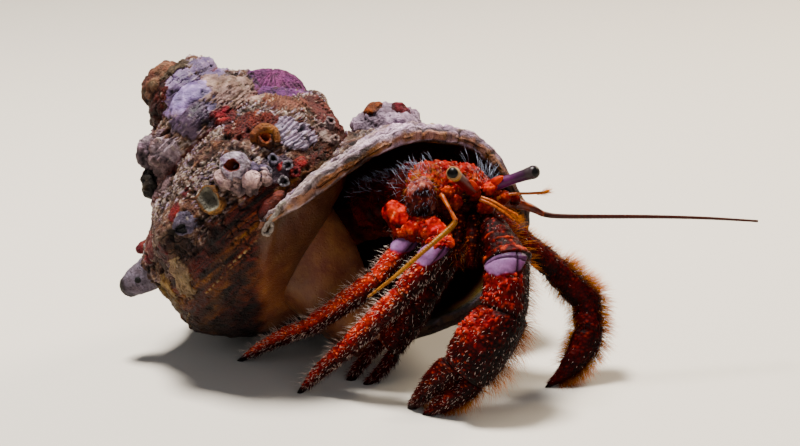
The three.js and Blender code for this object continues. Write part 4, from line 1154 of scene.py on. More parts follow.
shieldLook = {
    "table": [(17.6, -2.6, 41.2, 2.6, 1.2), (15.6, -1.6, 40.6, 4.6, 3.6), (12.3, 0.2, 39.6, 6.4, 5.4),
              (8.6, 2.2, 38.4, 7.3, 6.4), (5, 4.2, 37.2, 7.4, 6.6)],
    "codes": ("#280403", "#6c0c0a", "#a4180a", "#c43414", "#cc6844"),
    "cheekCodes": ("#240506", "#5c140e", "#8a3c30"),
    "sandCodes": ("#84483c", "#b48874"),
    # painted shade in the gaps between lumps and in the folds
    "gap": "#2c0604",
    "lie": unit((-0.5, 0.3, 0.5)),  # the way its bristles lie
}
rearLook = {
    "lie": unit((-0.8, 0.5, -0.2)),
    "table": [(4.7, 4.4, 37.1, 7.2, 6.4), (1, 6.6, 35.8, 6.9, 6.3), (-3, 9.2, 34.2, 6, 5.6),
              (-7, 12, 32.6, 4.9, 4.7)],
    # very dark: partly its own dark maroon, partly painted shade, as it lies in the shade of the shell's mouth
    "codes": ("#160303", "#380806", "#64180e"),
}


# The shield over the head: a hull with scattered lumps, folds where noise crosses zero and two seams on top.
def headShieldPart():
    points, s, angle = hullGrid(shieldLook["table"], 100, 150)
    normals = gridNormals(points, points.mean(1, keepdims=True))
    top = ease(0.15, 0.6, normals[..., 2])
    near, second, mark = cells(points, 0.8, 301)
    fold = veins(points, 2.2, 4, 309, 0.16)
    seam = bell(angle, math.pi / 2, 0.06) * top  # the line down the middle of the back
    across = bell(s, 0.62 + 0.12 * np.cos(2 * angle), 0.02) * top
    lift = 0.2 * ease(0.65, 0.15, near) * (0.1 + mark) + 0.55 * layered(points, 1.1, 3, 303) - 0.5 * fold
    lift = lift + 0.6 * layered(points, 3.4, 3, 311) - 0.3 * seam - 0.35 * across
    points = points + scaled(normals, lift)
    # Brighter and warmer on top: partly its own colour and partly painted light.
    warm = 0.1 + 0.5 * top + 0.6 * layered(points, 1.8, 3, 305) + 0.3 * (mark - 0.5)
    farSide = ease(12, 5, points[..., 0] + 2 * noise(points / 3, 315))
    sandy = ease(mix(0.2, -0.25, farSide), mix(0.6, 0.2, farSide), layered(points, 1.5, 3, 313))
    tint = blended(shieldLook["codes"], warm)
    tint = laidOver(tint, blended(shieldLook["sandCodes"], mark), sandy * mix(0.25, 0.65, farSide))
    # Painted shade in the gaps between lumps and in the folds.
    gap = np.maximum(ease(0.16, 0.02, second - near) * 0.6, fold * 0.8)
    tint = laidOver(tint, shieldLook["gap"], gap)
    # Painted shade on faces that look down.
    tint = scaled(tint, mix(0.2, 0.66, ease(-0.4, 0.6, normals[..., 2])))
    cheek = (1 - top) * ease(0.25, 0.6, s)
    tint = laidOver(tint, mottled(shieldLook["cheekCodes"], points, 1.3, 3, 307, 0.7), cheek * 0.8)
    made = tubePart(points, tint, mix(0.75, 0.35, farSide))
    return grown(made, points, normals, s, angle, shieldLook["lie"])


# An egg of armour for the cheek, the shoulders and small lumps: a ball with three half sizes, whose length lies
# along lean, raised by scattered lumps and noise. polish gives a smooth side, its colour and where it starts.
def eggPart(centre, reach, codes, seed, lift=0.25, size=1.1, lean=(0, 0, 1), gloss=0.3, rows=50, polish=None,
            broad=1.1):
    v, a = ringGrid(rows, rows * 2, 0.02, 0.98)
    axis = unit(lean)
    side, other = sideways(axis, (0.2, 1, 0.1))
    spine = np.array(centre) + scaled(axis, np.cos(math.pi * v) * reach[2])
    points = ovals(spine, side, other, a, np.sin(math.pi * v) * reach[0], np.sin(math.pi * v) * reach[1])
    normals = gridNormals(points, np.array(centre))
    nearest, _, mark = cells(points, size, seed)
    lump = ease(0.6, 0.1, nearest)
    bump = lift * lump * (0.4 + mark) + 0.3 * lift * layered(points, 0.7, 2, seed)
    tint = blended(codes, 0.35 + 0.5 * lump + 0.8 * layered(points, 1.6, 3, seed + 1))
    gloss = np.full(v.shape, gloss)
    if polish:
        way, code, start = polish
        shine = ease(start, start + 0.2, normals @ unit(way) + 0.4 * layered(points, 1.8, 3, seed + 4))
        tint = laidOver(tint, code, shine)
        bump, gloss = bump * (1 - 0.45 * shine), mix(gloss, 0.6, shine)
    points = points + scaled(normals, bump + broad * lift * layered(points, 2.4, 3, seed + 2))
    # Painted shade on faces that look down.
    tint = scaled(tint, mix(0.35, 1.05, ease(-0.5, 0.6, normals[..., 2])))
    return grown(tubePart(points, tint, gloss), points, normals, v, a, -axis)


# The body behind the shield: a hull with low rings round it and fine noise.
def rearBodyPart():
    points, s, angle = hullGrid(rearLook["table"], 80, 120)
    normals = gridNormals(points, points.mean(1, keepdims=True))
    lift = 0.1 * np.sin(s * 26) * ease(0.2, 0.4, s) + 0.4 * layered(points, 1.6, 3, 331)
    points = points + scaled(normals, lift)
    # Its colours are very dark, partly painted shade.
    made = tubePart(points, blended(rearLook["codes"], 0.4 + 0.8 * layered(points, 2, 3, 333)), 0.3)
    return grown(made, points, normals, s, angle, rearLook["lie"])


# The soft body inside the mouth: rings along the spiral that narrow steadily and ripple a little.
def abdomenPart():
    turns = np.linspace(-0.035, -0.4, 60)
    share = np.linspace(0, 1, 60)
    centres = spiralPoint(turns, np.full(60, 22.5), np.full(60, 60.0))
    ripple = 1 + 0.04 * np.sin(share * 60)
    rings = hullRings(centres, (5.6 - 2.2 * share) * ripple, (5.2 - 2 * share) * ripple, 60)[0]
    return tubePart(rings, mottled(("#5c201a", "#a05a48"), rings, 3, 3, 341, 0.6), 0.4)


eyes = {
    "Right": {"foot": (14, -5.4, 41.4), "head": (9.6, -12, 47.2), "stalk": ("#561410", "#54181c", "#3a0e14"),
              "ring": "#94744c", "cornea": ("#030202", "#0e0806"), "look": (-0.14, -0.93, 0.38), "edge": 0.55},
    "Left": {"foot": (18.4, -2.8, 41.5), "head": (27.2, -5.1, 45.3),
             "stalk": ("#44203c", "#5c3056", "#4c2c4a", "#2c2426"),
             "ring": "#40363a", "cornea": ("#080607", "#1a1416"), "look": (0.55, -0.8, 0.3), "edge": 0.62},
}
stalkRows = [(0, 1.25), (0.1, 1.2), (0.5, 1.04), (0.85, 1.16), (0.94, 1.27), (1, 1.27)]  # share, radius in mm
corneaRows = [(0, 1.26), (0.15, 1.34), (0.35, 1.36), (0.6, 1.25), (0.8, 1), (0.92, 0.7), (0.98, 0.4), (1, 0.16)]


# Rings round a line of centres; relief is added to the radius, and colour may be worked out from the rings.
def ringsPart(centre, side, other, s, angle, radius, colour, gloss, relief):
    if relief is not None:
        radius = radius + relief(s, angle)
    rings = ovals(centre, side, other, angle, radius)
    return tubePart(rings, colour(rings, s, angle) if callable(colour) else paint(colour), gloss)


# A body of revolution along a straight line: rows of share and radius joined by straight runs.
def spun(start, stop, profile, rows, columns, colour, gloss=0.5, relief=None):
    start, stop = np.array(start, float), np.array(stop, float)
    along = unit(stop - start)
    side, other = sideways(along, (0.13, 0.31, 0.94) if abs(along[2]) < 0.9 else (1, 0.1, 0))
    s, angle = ringGrid(rows, columns)
    shares, radii = np.array(profile).T
    centre = start + scaled(stop - start, s)
    return ringsPart(centre, side, other, s, angle, np.interp(s, shares, radii), colour, gloss, relief)


# A tube along a smooth curve through points, whose radius follows a smooth curve through its own row.
def pathTube(path, radii, rows, columns, colour, gloss=0.4, relief=None):
    centre = through(path, np.linspace(0, 1, rows))
    side, other = sideways(unit(np.gradient(centre, axis=0)), (0.1, 0.25, 0.96))
    s, angle = ringGrid(rows, columns)
    radius = through(np.array(radii, float)[:, None], s)[..., 0]
    return ringsPart(centre[:, None], side[:, None], other[:, None], s, angle, radius, colour, gloss, relief)


# A stalk with a ring of pale skin at its end, and a domed cornea that is dark where it looks along its own line.
def eyeParts(eye):
    foot, head = np.array(eye["foot"], float), np.array(eye["head"], float)
    along = unit(head - foot)
    stalkEnd = head - along * 2.0

    # The stalk's colours along its length, then the ring.
    def stalkTint(rings, s, angle):
        band = blended(eye["stalk"], s + 0.15 * layered(rings, 1.2, 2, 351))
        return laidOver(band, eye["ring"], ease(0.86, 0.92, s))

    # Dark where the cosine to the eye's own line is above a wavy edge, and the ring's colour elsewhere.
    def corneaTint(rings, s, angle):
        toward = unit(rings - (stalkEnd + along * 0.8)) @ unit(eye["look"])
        rim = ease(eye["edge"] + 0.05, eye["edge"] - 0.05, toward + 0.02 * np.sin(angle * 3))
        return laidOver(blended(eye["cornea"], 0.3 + 0.5 * layered(rings, 0.4, 2, 353)), eye["ring"], rim)

    return (spun(foot, stalkEnd + along * 0.25, stalkRows, 60, 40, stalkTint, 0.2),
            spun(stalkEnd + along * 0.1, head, corneaRows, 30, 40, corneaTint, 1))


floorGap = 0.02  # mm between the floor and the lowest points


# Lifts points that noise has pushed through the floor: no height is less than the gap.
def aboveFloor(form, gap=floorGap):
    form["points"][:, 2] = np.maximum(form["points"][:, 2], gap)
    return form


barnacleLook = {"creviceShade": "#4c362e", "shade": 0.68, "leaning": 0.4, "rough": 0.17}


# A hollow cone of lime plates: the outline climbs outside, turns over a scalloped rim and drops inside to a
# floor; floor is its height as a share, and dim how much of the inner colour is left there, as painted shade deep in
# the cup.
def barnaclePart(at, out, radius, height, mouth, codes, inner, plates, seed, floor=0.3, dim=0.2):
    at, out = np.array(at, float), unit(out)
    side, other = sideways(out, (0.3, 0.2, 0.93))
    rise = [-1.2 / height, 0, 0.35, 0.7, 0.96, 1, 0.93, mix(floor, 1, 0.4), floor + 0.05, floor]
    spread = [radius * 1.06, radius, radius * 0.92, radius * 0.82, mouth + 0.55, mouth + 0.3, mouth, mouth * 0.85,
              mouth * 0.6, 0.05]
    rows = 54 if radius > 1.6 else 36
    v, a = ringGrid(rows, rows)
    row = through(np.stack([spread, np.array(rise) * height], -1), v)
    rib = np.abs(np.sin(a * plates / 2 + seed)) ** 0.6
    outside = ease(0.62, 0.5, v)
    r = row[..., 0] * (1 + (0.12 * rib - 0.06) * outside)
    h = row[..., 1] + (rib - 0.6) * 0.22 * height * ease(0.25, 0.5, v) * ease(0.85, 0.6, v)
    rings = ovals(at + scaled(out, h), side, other, a, r)
    rings = rings + scaled(unit(rings - at), barnacleLook["rough"] * radius * layered(rings, 1.4, 3, seed))
    lean = barnacleLook["leaning"] * radius * noise(rings / 1.8, seed + 3) * ease(-0.5, 1, h)
    rings = rings + scaled(side, lean)
    tint = blended(codes, 0.45 + 0.35 * rib + 0.8 * layered(rings, 1.2, 3, seed + 1)) * barnacleLook["shade"]
    # Painted shade in the crevices between the plates.
    tint = laidOver(tint, barnacleLook["creviceShade"], ease(0.4, 0.1, rib) * outside * 0.6)
    tint = scaled(tint, mix(0.45, 1.1, 0.5 + 0.9 * layered(rings, 0.6, 3, seed + 2)))
    tint = laidOver(tint, inner, ease(0.54, 0.66, v))
    # Painted shade deep inside, towards the floor.
    tint = laidOver(tint, paint(inner) * dim, ease(0.72, 0.9, v))
    return tubePart(rings, tint, 0.2)


# Barnacles: place and direction, radius, height and mouth in mm, colours, inner colour, plates, floor and dim.
barnacles = {
    "cup": ((-36.6, -7.4, 39.9), (-0.24, -0.92, 0.3), 2.8, 1.7, 2, ("#6e4a32", "#b08c66", "#8c6846"), "#6c6860",
            3, 0.62, 0.55),
    "upper": ((-31.8, -6.4, 45.9), (-0.07, -0.88, 0.48), 3.1, 2.9, 1.1, ("#b4a0b0", "#e4d8e2", "#a492a4"),
              "#6c2e14", 4, 0.1, 0.12),
    "high": ((-26.3, -1.3, 49.8), (0.14, -0.66, 0.74), 1.9, 2, 1, ("#7c4c30", "#b08058", "#5c3420"), "#a0501c",
             4, 0.3, 0.3),
    "blackOne": ((-24.9, -4.2, 47), (0.1, -0.8, 0.6), 0.95, 1.3, 0.45, ("#5e5868", "#a098a8"), "#0b0a0c", 4),
    "blackTwo": ((-25.7, -5.7, 45), (0, -0.9, 0.4), 1, 1.4, 0.45, ("#6c6674", "#a8a0ac"), "#0b0a0c", 4),
    "blackThree": ((-22.1, -3.9, 45.8), (0.2, -0.9, 0.4), 1.1, 1.2, 0.5, ("#756c78", "#a8a0a8"), "#101014", 5),
    "blackFour": ((-22.9, -5.6, 43.2), (0.2, -0.92, 0.3), 1.2, 1.3, 0.5, ("#8a848e", "#c3bcc0"), "#16181f", 5),
    "redOne": ((-20.6, -4.2, 44.6), (0.25, -0.9, 0.35), 1, 0.9, 0.4, ("#8c2434", "#a84048"), "#4a101a", 5),
    "grey": ((-27.2, -6.9, 45.2), (0.05, -0.92, 0.4), 1, 1, 0.3, ("#5a4a5c", "#84708a"), "#2a1c2c", 5),
    "eastOne": ((-14.2, 8.6, 51), (0.35, -0.5, 0.8), 1.1, 1, 0.4, ("#8a7478", "#b8a6a6"), "#3a2024", 5),
    "eastTwo": ((-13.2, 5.6, 48.6), (0.5, -0.6, 0.6), 0.9, 0.8, 0.3, ("#a58a86", "#c9b6b0"), "#4a2a2a", 5),
    "backOne": ((-26, 39.5, 30), (-0.3, 0.9, 0.2), 2.2, 2, 1, ("#b3a08c", "#d2c2ae"), "#3c2a22", 6),
    "backTwo": ((-20.5, 41.6, 27.5), (0, 0.97, 0.1), 1.6, 1.6, 0.7, ("#a8988a", "#cbbcab"), "#3c2a22", 6),
}
# Lobes that hang in a row below the large barnacle: centre and half sizes.
lobes = [((-34.2, -7.6, 44.3), (2, 1.5, 2.3)), ((-31.4, -8.5, 43), (1.7, 1.2, 2.3)),
         ((-28.9, -8.2, 43.3), (1.8, 1.3, 2.6)), ((-26.5, -7.3, 44.3), (1.6, 1.2, 1.9))]


# Relief of a spine in mm: layered noise on its share and round its axis.
def spineRelief(seed, height):
    def relief(s, angle):
        return height * layered(placed(s * 9, np.cos(angle) * 1.6, np.sin(angle) * 1.6), 1, 3, seed)
    return relief


# Colour of a spine: mottled, with a different tip from a share of its length on.
def spineTint(codes, tipCode, tipFrom, seed):
    def tint(rings, s, angle):
        tip = ease(tipFrom, tipFrom + 0.12, s + 0.05 * np.sin(angle * 2))
        return laidOver(mottled(codes, rings, 1.8, 3, seed, 0.7), tipCode, tip)
    return tint


wormCurl = [(-22.2, -9.9, 40.4), (-23.4, -10.5, 39.6), (-23.8, -10.6, 38.2), (-25, -10.1, 37), (-26, -10.4, 35.6),
            (-26.5, -10.6, 34.3), (-25.6, -10.5, 33.9), (-24.8, -10.1, 35.2), (-25.2, -10, 36.6)]
wormArch = [(-28.6, -1.6, 49.6), (-28.4, -1.6, 51.6), (-26.6, -1.2, 52.7), (-24.6, -1.3, 52), (-24, -2.2, 50.2)]
growths = [barnaclePart(*row[:8], 400 + k, *row[8:]) for k, row in enumerate(barnacles.values())]
growths += [growthBall(at, reach, ("#78606a", "#ccb4b0", "#96848c"), 0.5, 0.15, 480 + 8 * k, rows=40)
            for k, (at, reach) in enumerate(lobes)]
growths += [
    growthBall((-28.4, -5.4, 45.2), (3.2, 2.2, 1.9), ("#5e5068", "#96889e", "#6c5c70"), 0.35, 0.2, 490),
    pathTube(wormCurl, [0.36, 0.44, 0.44, 0.38], 120, 14, "#948c86", 0.2, lambda s, a: 0.05 * np.sin(s * 70)),
    pathTube(wormArch, [0.7, 0.95, 1.0, 0.9, 0.6], 60, 26,
             lambda p, s, a: mottled(("#54341f", "#8a6446", "#6c4830"), p, 1.2, 3, 431, 0.6), 0.3,
             spineRelief(432, 0.2)),
    eggPart((-25, -8.5, 39.3), (1.5, 1.1, 3.6), ("#402020", "#744640", "#5a302c"), 434, 0.12, 1.4, (4.6, 2.3, 4.6)),
]
barnacleForm = joined(growths)

# Lumps on the crest and the left: centre, half sizes, colours, how craggy, gloss, seed and settings that differ.
crestLumps = [
    ((-47.8, 22, 54.5), (5.7, 5.5, 6.3), ("#6a5e50", "#7c5c50", "#48302a"), 0.5, 0.15, 436, {}),
    (spiralPoint(-1.08, 25, 40) + np.array((0.8, 0, -0.2)), (7.6, 6, 5.8), ("#46303f", "#7a5070", "#5c3e58"),
     0.3, 0.15, 438, dict(ribs=30, axis=(0.1, -0.2, 1), ribHeight=0.5, rows=62)),
    (spiralPoint(-1.5, 25, 43.5), (4.1, 4.1, 4.1), ("#5d4f55", "#857478", "#6b5a55"), 0.5, 0.1, 440, {}),
    (spiralPoint(-1.5, 32, 54.5) + np.array((0.4, 0, -0.9)), (3.3, 3.3, 3.3), ("#7c6c8c", "#ab9bb8", "#c8bad2"),
     0.3, 0.4, 442, {}),
    ((-39.7, 14.4, 51.1), (7.7, 7.7, 7.7), ("#645678", "#9082a2", "#b4a4c2"), 0.28, 0.55, 443, dict(rows=60)),
    ((-51.4, 14.2, 43.6), (3.2, 3.4, 3.4), ("#a8949e", "#786670", "#b4a4aa"), 0.5, 0.1, 444, {}),
    ((-47.4, 9.6, 44.6), (2, 2, 2.4), ("#8b8390", "#68606c", "#9a929a"), 0.35, 0.2, 446, {}),
    ((-50.5, 12, 37.6), (2.8, 3, 3.4), ("#3a2c18", "#281a10", "#4a3c20"), 0.5, 0.1, 448, {}),
    ((*spiralPoint(-0.37, 33, 71)[:2], 2.1), (3.9, 3.9, 2.9), ("#8a7664", "#5c463c", "#9c8a76"), 0.2, 0.1, 450, {}),
]
backLumps = [
    ((-2.8, 22.6, 45.6), (7.6, 6.5, 6), ("#6c5e68", "#a494a2", "#84727e"), 0.7, 0.15, 452, dict(rows=66, sink=0.15)),
    ((-5.2, 22.2, 49.6), (2.7, 2.2, 2.4), ("#5c3420", "#84563a", "#6c5a60"), 0.35, 0.15, 454, {}),
    ((-0.4, 22.2, 49.4), (2.5, 2.2, 2.4), ("#4c1014", "#6c2c34", "#705c70"), 0.35, 0.15, 456, {}),
]
# Spines: root and point as turn, distance from the axis and distance from the tip; radius, colours, tip.
spines = {
    "big": ((-0.5, 29, 52), (-0.5, 45.4, 50.8), 4.1, ("#464048", "#746c76", "#54484e"), "#1c0a10", 0.84),
    "small": ((-0.5, 27.5, 46), (-0.5, 36, 44.4), 1.9, ("#5a2c30", "#8a5450", "#4c1c24"), "#6c2030", 0.74),
}
spineRows = [(0, 1), (0.35, 0.92), (0.75, 0.72), (0.92, 0.5), (0.98, 0.3), (1, 0.08)]

growths = [growthBall(*row[:6], **row[6]) for row in crestLumps]
for k, (root, point, size, codes, tipCode, tipFrom) in enumerate(spines.values()):
    growths.append(spun(spiralPoint(*root), spiralPoint(*point), [(s, r * size) for s, r in spineRows], 60, 44,
                        spineTint(codes, tipCode, tipFrom, 460 + k), 0.3, spineRelief(470 + k, 0.32)))
growths += [growthBall(*row[:6], **row[6]) for row in backLumps]
growths.append(eggPart((-54.1, 7.4, 18), (0.7, 0.5, 0.7), ("#060405", "#0c090a"), 458, 0.05))

# Each stretch of the shell: the turns it runs between, or the shares of the open part, then rows and columns.
shellPieces = {
    "shellOldWhorls": (bodyWhorls(-3.1, -1.25, 360, 142), "shell", ["shellSpire"]),
    "shellHighWhorl": (bodyWhorls(-1.3, -0.83, 350, 226), "shell", ["shellSpire"]),
    "shellBodyWhorl": (bodyWhorls(-0.88, -0.4, 390, 248), "shell", ["shellSpire"]),
    "shellLastWhorl": (joined([lastWhorl(0, 0.76, 190, 124), columella()]), "shell", ["shellMouth"]),
    "shellLip": (lastWhorl(0.75, 1, 158, 260), "shell", ["shellMouth"]),
    "shellBarnacles": (barnacleForm, "barnacle", ["barnacleCup", "barnacleUpper", "barnacleLower"]),
    "shellGrowths": (joined(growths), "shell", []),
}
for name, (form, slotName, nodes) in shellPieces.items():
    placePiece(name, aboveFloor(form), "shell", nodes)
print("shell done")


floorPlane = (0, 0, 1)  # where the legs end
clawPlane = (-0.6, -0.1, -0.79)  # where the palms end
knuckleWay = (-0.25, -0.75, 0.6)  # the side where the lilac knuckles lie
walking = {  # half widths and half depths at the start, the middle and the end of each piece, mm
    "Ischium": ([2.2, 2.5, 2.5], [2.3, 2.6, 2.6]),
    "Merus": ([2.4, 2.6, 2.5], [2.6, 3, 2.7]),
    "Carpus": ([2.3, 2.6, 2.3], [2.4, 2.7, 2.4]),
    "Propodus": ([2.2, 2.3, 1.9], [2.4, 2.5, 2]),
    "Dactyl": ([1.8, 1.55, 0.5], [1.95, 1.7, 0.5]),
}


# The pieces of a walking leg with every size times one number.
def scaledPieces(by):
    return {name: ([v * by for v in wide], [v * by for v in deep]) for name, (wide, deep) in walking.items()}


# Limbs: joints and pieces in mm, how far the last piece bows, how bright each piece is, the size of scales, how
# much of the third piece is a smooth knuckle, and armourPart's own settings.
limbs = {
    "legRightRear": {
        "joints": [(6, 13.5, 31), (-1.4, 10, 32.4), (1.8, -3, 29.6), (-4.4, -6, 22.9), (-18.3, -1, 11.1),
                   (-33.5, 7.4, 0)],
        "pieces": scaledPieces(0.92), "bow": 0.7, "bright": (0.3, 1, 0.7, 0.95, 0.8),
        "scale": 0.8, "knuckle": 0.42, "seed": 500, "armour": dict(paleness=1.0),
    },
    "legRightFront": {
        "joints": [(11, 6, 31), (5.2, 3, 33.4), (7.4, -10, 30.5), (0.6, -13, 22.5), (-9.9, -11, 11),
                   (-20.1, -9.4, 0)],
        "pieces": scaledPieces(0.98), "bow": 0.7, "bright": (0.3, 0.8, 0.45, 0.6, 0.5),
        "scale": 0.8, "knuckle": 0.42, "seed": 520, "armour": dict(paleness=1.0),
    },
    "legLeftFront": {
        "joints": [(17, 3.5, 34), (23.3, 2, 29.3), (31.4, 2.6, 22.3), (38, 2, 15.5), (38.3, -1, 10.2),
                   (29.9, -6.4, 0)],
        "pieces": {
            "Ischium": ([2.2, 2.3, 2.2], [2.3, 2.4, 2.3]),
            "Merus": ([2.2, 2.4, 2.4], [2.3, 2.5, 2.5]),
            "Carpus": ([2.4, 2.6, 2.7], [2.5, 2.9, 2.9]),
            "Propodus": ([2.6, 2.6, 2.5], [2.9, 2.9, 2.8]),
            "Dactyl": ([2.4, 2, 0.45], [2.7, 2.3, 0.45]),
        },
        "bow": -1.6, "bright": (0.2, 0.2, 0.08, 0.06, 0.05), "scale": 0.75,
        "seed": 540, "armour": dict(paleness=0.2, rim=0.0, ends=0.96, fire=("#8c200c", "#b86048")),
    },
    "legLeftRear": {
        "joints": [(12, 8, 30), (17, 6, 27.3), (21.4, 3.4, 24), (21.6, 1.6, 16.8), (20.2, 3, 8.6), (18.6, 7.6, 0)],
        "pieces": scaledPieces(0.85), "bow": 0.4, "bright": (0.2, 0.3, 0.25, 0.2, 0.15),
        "scale": 0.75, "seed": 560, "armour": dict(paleness=0.3, fire=("#a4260c", "#d88468")),
    },
    "clawLeft": {
        "joints": [(15, 0, 33.5), (18.2, -6, 33.4), (20.9, -14, 29.4), (20, -18, 20.4), (12.4, -20, 9)],
        "pieces": {
            "Ischium": ([2.5, 2.8, 2.9], [2.5, 2.8, 2.9]),
            "Merus": ([3, 3.6, 3.9], [3, 3.6, 3.8]),
            "Carpus": ([4.1, 4.5, 4.3], [4, 4.4, 4.2]),
            "Palm": ([4.5, 5.3, 4.4], [4.7, 5.9, 5.2]),
        },
        "bright": (0.05, 0.06, 0.1, 0.03), "scale": 0.85, "knuckle": 0.36, "seed": 580,
        "armour": dict(paleness=0.35, rim=0.01, ends=0.9, fire=("#b02410", "#d88468"), band=0.085,
                       wash=(0.78, 0.54, 0.64), step=0.2),
        # Knobbed patches: direction, how squarely a face has to look there, and the shares they lie between.
        "blaze": {"Carpus": ((-0.35, -0.8, 0.3), 0.25, 0.75, 0.3, 0.85),
                  "Palm": ((-0.8, -0.4, 0.5), 0.6, 0.95, 0, 0.55)},
        # Raised stripes: share, half width as a share, strength.
        "arcs": {"Merus": ((0.45, 0.02, 0.6), (0.64, 0.02, 0.5), (0.9, 0.045, 1))},
    },
    "clawRight": {
        "joints": [(13, 3, 31), (11.8, -1, 29.2), (9.6, -3, 26.4), (6, -2, 20.3), (-2.2, -2, 7)],
        "pieces": {
            "Ischium": ([1.7, 1.9, 1.9], [1.7, 1.9, 1.9]),
            "Merus": ([2, 2.3, 2.3], [2, 2.3, 2.3]),
            "Carpus": ([2.4, 2.7, 2.7], [2.4, 2.9, 2.8]),
            "Palm": ([2.8, 3.3, 2.7], [3, 4.2, 3.3]),
        },
        "bright": (0.1, 0.12, 0.15, 0.15), "scale": 0.85, "seed": 600,
        "armour": dict(paleness=0.4, fire=("#a4260c", "#d88468")),
    },
}
meetingRim = 0.13  # how far the second piece's end flares over a knuckle, as a share of its width
# Fingers: end of the palm, how far beside it they start, tip, half width at the start, bow and seed.
fingers = {
    "clawLeft": {
        "FixedFinger": ((12.4, -20, 9), -2.5, (5.6, -20, 0), 2.8, -0.3, 620),
        "MovingFinger": ((12.4, -19.4, 9), 2.5, (2.4, -17, 0), 2.9, 0.2, 622),
    },
    "clawRight": {
        "FixedFinger": ((-2.2, -2, 7), -1.7, (-6.4, -4.6, 0), 1.5, -0.3, 624),
        "MovingFinger": ((-2.2, -1.8, 7), 1.9, (-10, -2.6, 0), 1.5, 0.4, 626),
    },
}
# Swellings over the upper joints of the walking legs: centre, half sizes, lean, seed, and the polished side with
# its colour and where it starts.
shoulders = {
    "legRightRear": [
        ((0.3, -1.7, 34), (3, 2.7, 4.2), (0.75, -0.2, -0.6), 690, ((0.6, -0.75, 0.3), "#b81208", 0.72)),
        ((1.8, -3.3, 31.9), (3.2, 2.4, 2.2), (0.2, 0, 1), 691, None),
    ],
    "legRightFront": [
        ((6.7, -7.9, 33.5), (2.3, 2.2, 3.7), (0.8, -0.3, -0.55), 692, ((0.6, -0.75, 0.3), "#ac1008", 0.68)),
        ((3.8, -5.7, 33.6), (3, 2.4, 2.7), (0.5, -0.2, 1), 694, None),
        ((7.6, -10.4, 32.1), (2.6, 2.1, 1.7), (0.2, 0, 1), 693, None),
    ],
}
shoulderCodes = ("#480806", "#8c100a", "#b0200e", "#c84a30", "#e0947c")

madeLimbs = {}
softParts = []
for limbName, limb in limbs.items():
    frames = limbFrames(limb["joints"], floorPlane if "Dactyl" in limb["pieces"] else clawPlane)
    made = {}
    for k, (pieceName, (wide, deep)) in enumerate(limb["pieces"].items()):
        isTip = pieceName == "Dactyl"
        more = {**limb["armour"], "blaze": limb.get("blaze", {}).get(pieceName),
                "arcs": limb.get("arcs", {}).get(pieceName, ())}
        knuckle = limb.get("knuckle", 0)
        if pieceName == "Merus" and knuckle:
            more["rim"] = meetingRim
        made[pieceName] = armourPart(
            frames[k], wide, deep, limb["bow"] if isTip else 0, limb["scale"], limb["bright"][k],
            knuckle if pieceName == "Carpus" else 0, angleTowards(frames[k], knuckleWay), isTip,
            limb["seed"] + 2 * k, clawTip=isTip, **more)
        if k:
            joints = np.array(limb["joints"][k - 1 : k + 2], float)
            softParts.append(softJoint(*joints, 0.94 * min(wide[0], deep[0]), limb["seed"] + 11 + k))
    for fingerName, (palmEnd, aside, tip, size, bow, seed) in fingers.get(limbName, {}).items():
        plane, hinge = unit(clawPlane), np.array((0.0, 1.0, 0.0))
        start = np.array(palmEnd) + aside * unit(np.cross(hinge, plane))
        fingerFrame = (start, np.array(tip, float), hinge, plane, np.array((0.0, 0.0, 1.0)), (0.36, 0))
        made[fingerName] = armourPart(fingerFrame, [size, size * 0.85, 0.8], [size * 0.9, size * 0.75, 0.8], bow,
                                      0.8, 0.05, tip=True, seed=seed, clawTip=True, paleness=0.3,
                                      fire=limb["armour"]["fire"])
    madeLimbs[limbName] = made
    extra = [eggPart(at, reach, shoulderCodes, seed, 0.24, 0.8, lean, 0.4, 60, polish, 4.4)
             for at, reach, lean, seed, polish in shoulders.get(limbName, ())]
    form = aboveFloor(joined(list(made.values()) + extra))
    placePiece(limbName + "Armour", form, "armour", [limbName + n for n in made])
placePiece("softSkin", joined(softParts + [abdomenPart()]), "smooth", ["abdomen"])
print("limbs done")

cheekCodes = ("#3c1010", "#7c3e38", "#b08078")
lumpCodes = ("#3c0606", "#84100a", "#b02a16", "#cc6a50")
baseCodes = ("#3c0c08", "#8a2416", "#b85c44")
# Small lumps round the eyes and the feelers' roots: centre, half sizes, lean, seed and colours.
headLumps = [
    ((14.6, -4.6, 40.4), (1.5, 1.3, 1.7), (0.3, -0.4, 1), 642, lumpCodes),
    ((17.6, -3.6, 40.6), (1.5, 1.4, 1.9), (0.4, -0.3, 1), 643, lumpCodes),
    ((19.6, -3.2, 38.9), (1.7, 1.4, 1.5), (0.8, -0.3, 0.3), 644, lumpCodes),
    ((20.6, -4.4, 39.6), (1.3, 1.1, 1.2), (1, -0.3, 0.2), 651, baseCodes),
    ((22.6, -3.9, 38.7), (1.2, 1, 1.1), (1, -0.2, -0.3), 652, baseCodes),
    ((17, -4.2, 37.4), (1.8, 1.4, 2.2), (0.3, -0.3, 1), 646, lumpCodes),
    ((9.4, -4.9, 40.4), (1.5, 1.1, 1.7), (0.2, -0.2, 1), 653, baseCodes),
    ((10.9, -5.4, 39), (1.25, 1, 1.5), (0.2, -0.2, 1), 654, baseCodes),
]
shield = headShieldPart()
rearBody = rearBodyPart()
cheek = eggPart((4.1, -4.9, 39.5), (3.2, 2.5, 4.4), cheekCodes, 640, 0.24, 0.7, (0.12, 0, 1), 0.3, 60,
                ((0.12, -0.98, -0.12), "#2c0c12", 0.8), 2)
lumps = [eggPart(at, reach, codes, seed, 0.2, 0.7, lean, 0.45, 38, broad=3.0)
         for at, reach, lean, seed, codes in headLumps]
placePiece("headShieldArmour", joined([shield, cheek] + lumps), "armour", ["headShield"])
placePiece("rearBodyArmour", rearBody, "armour", ["rearCarapace"])
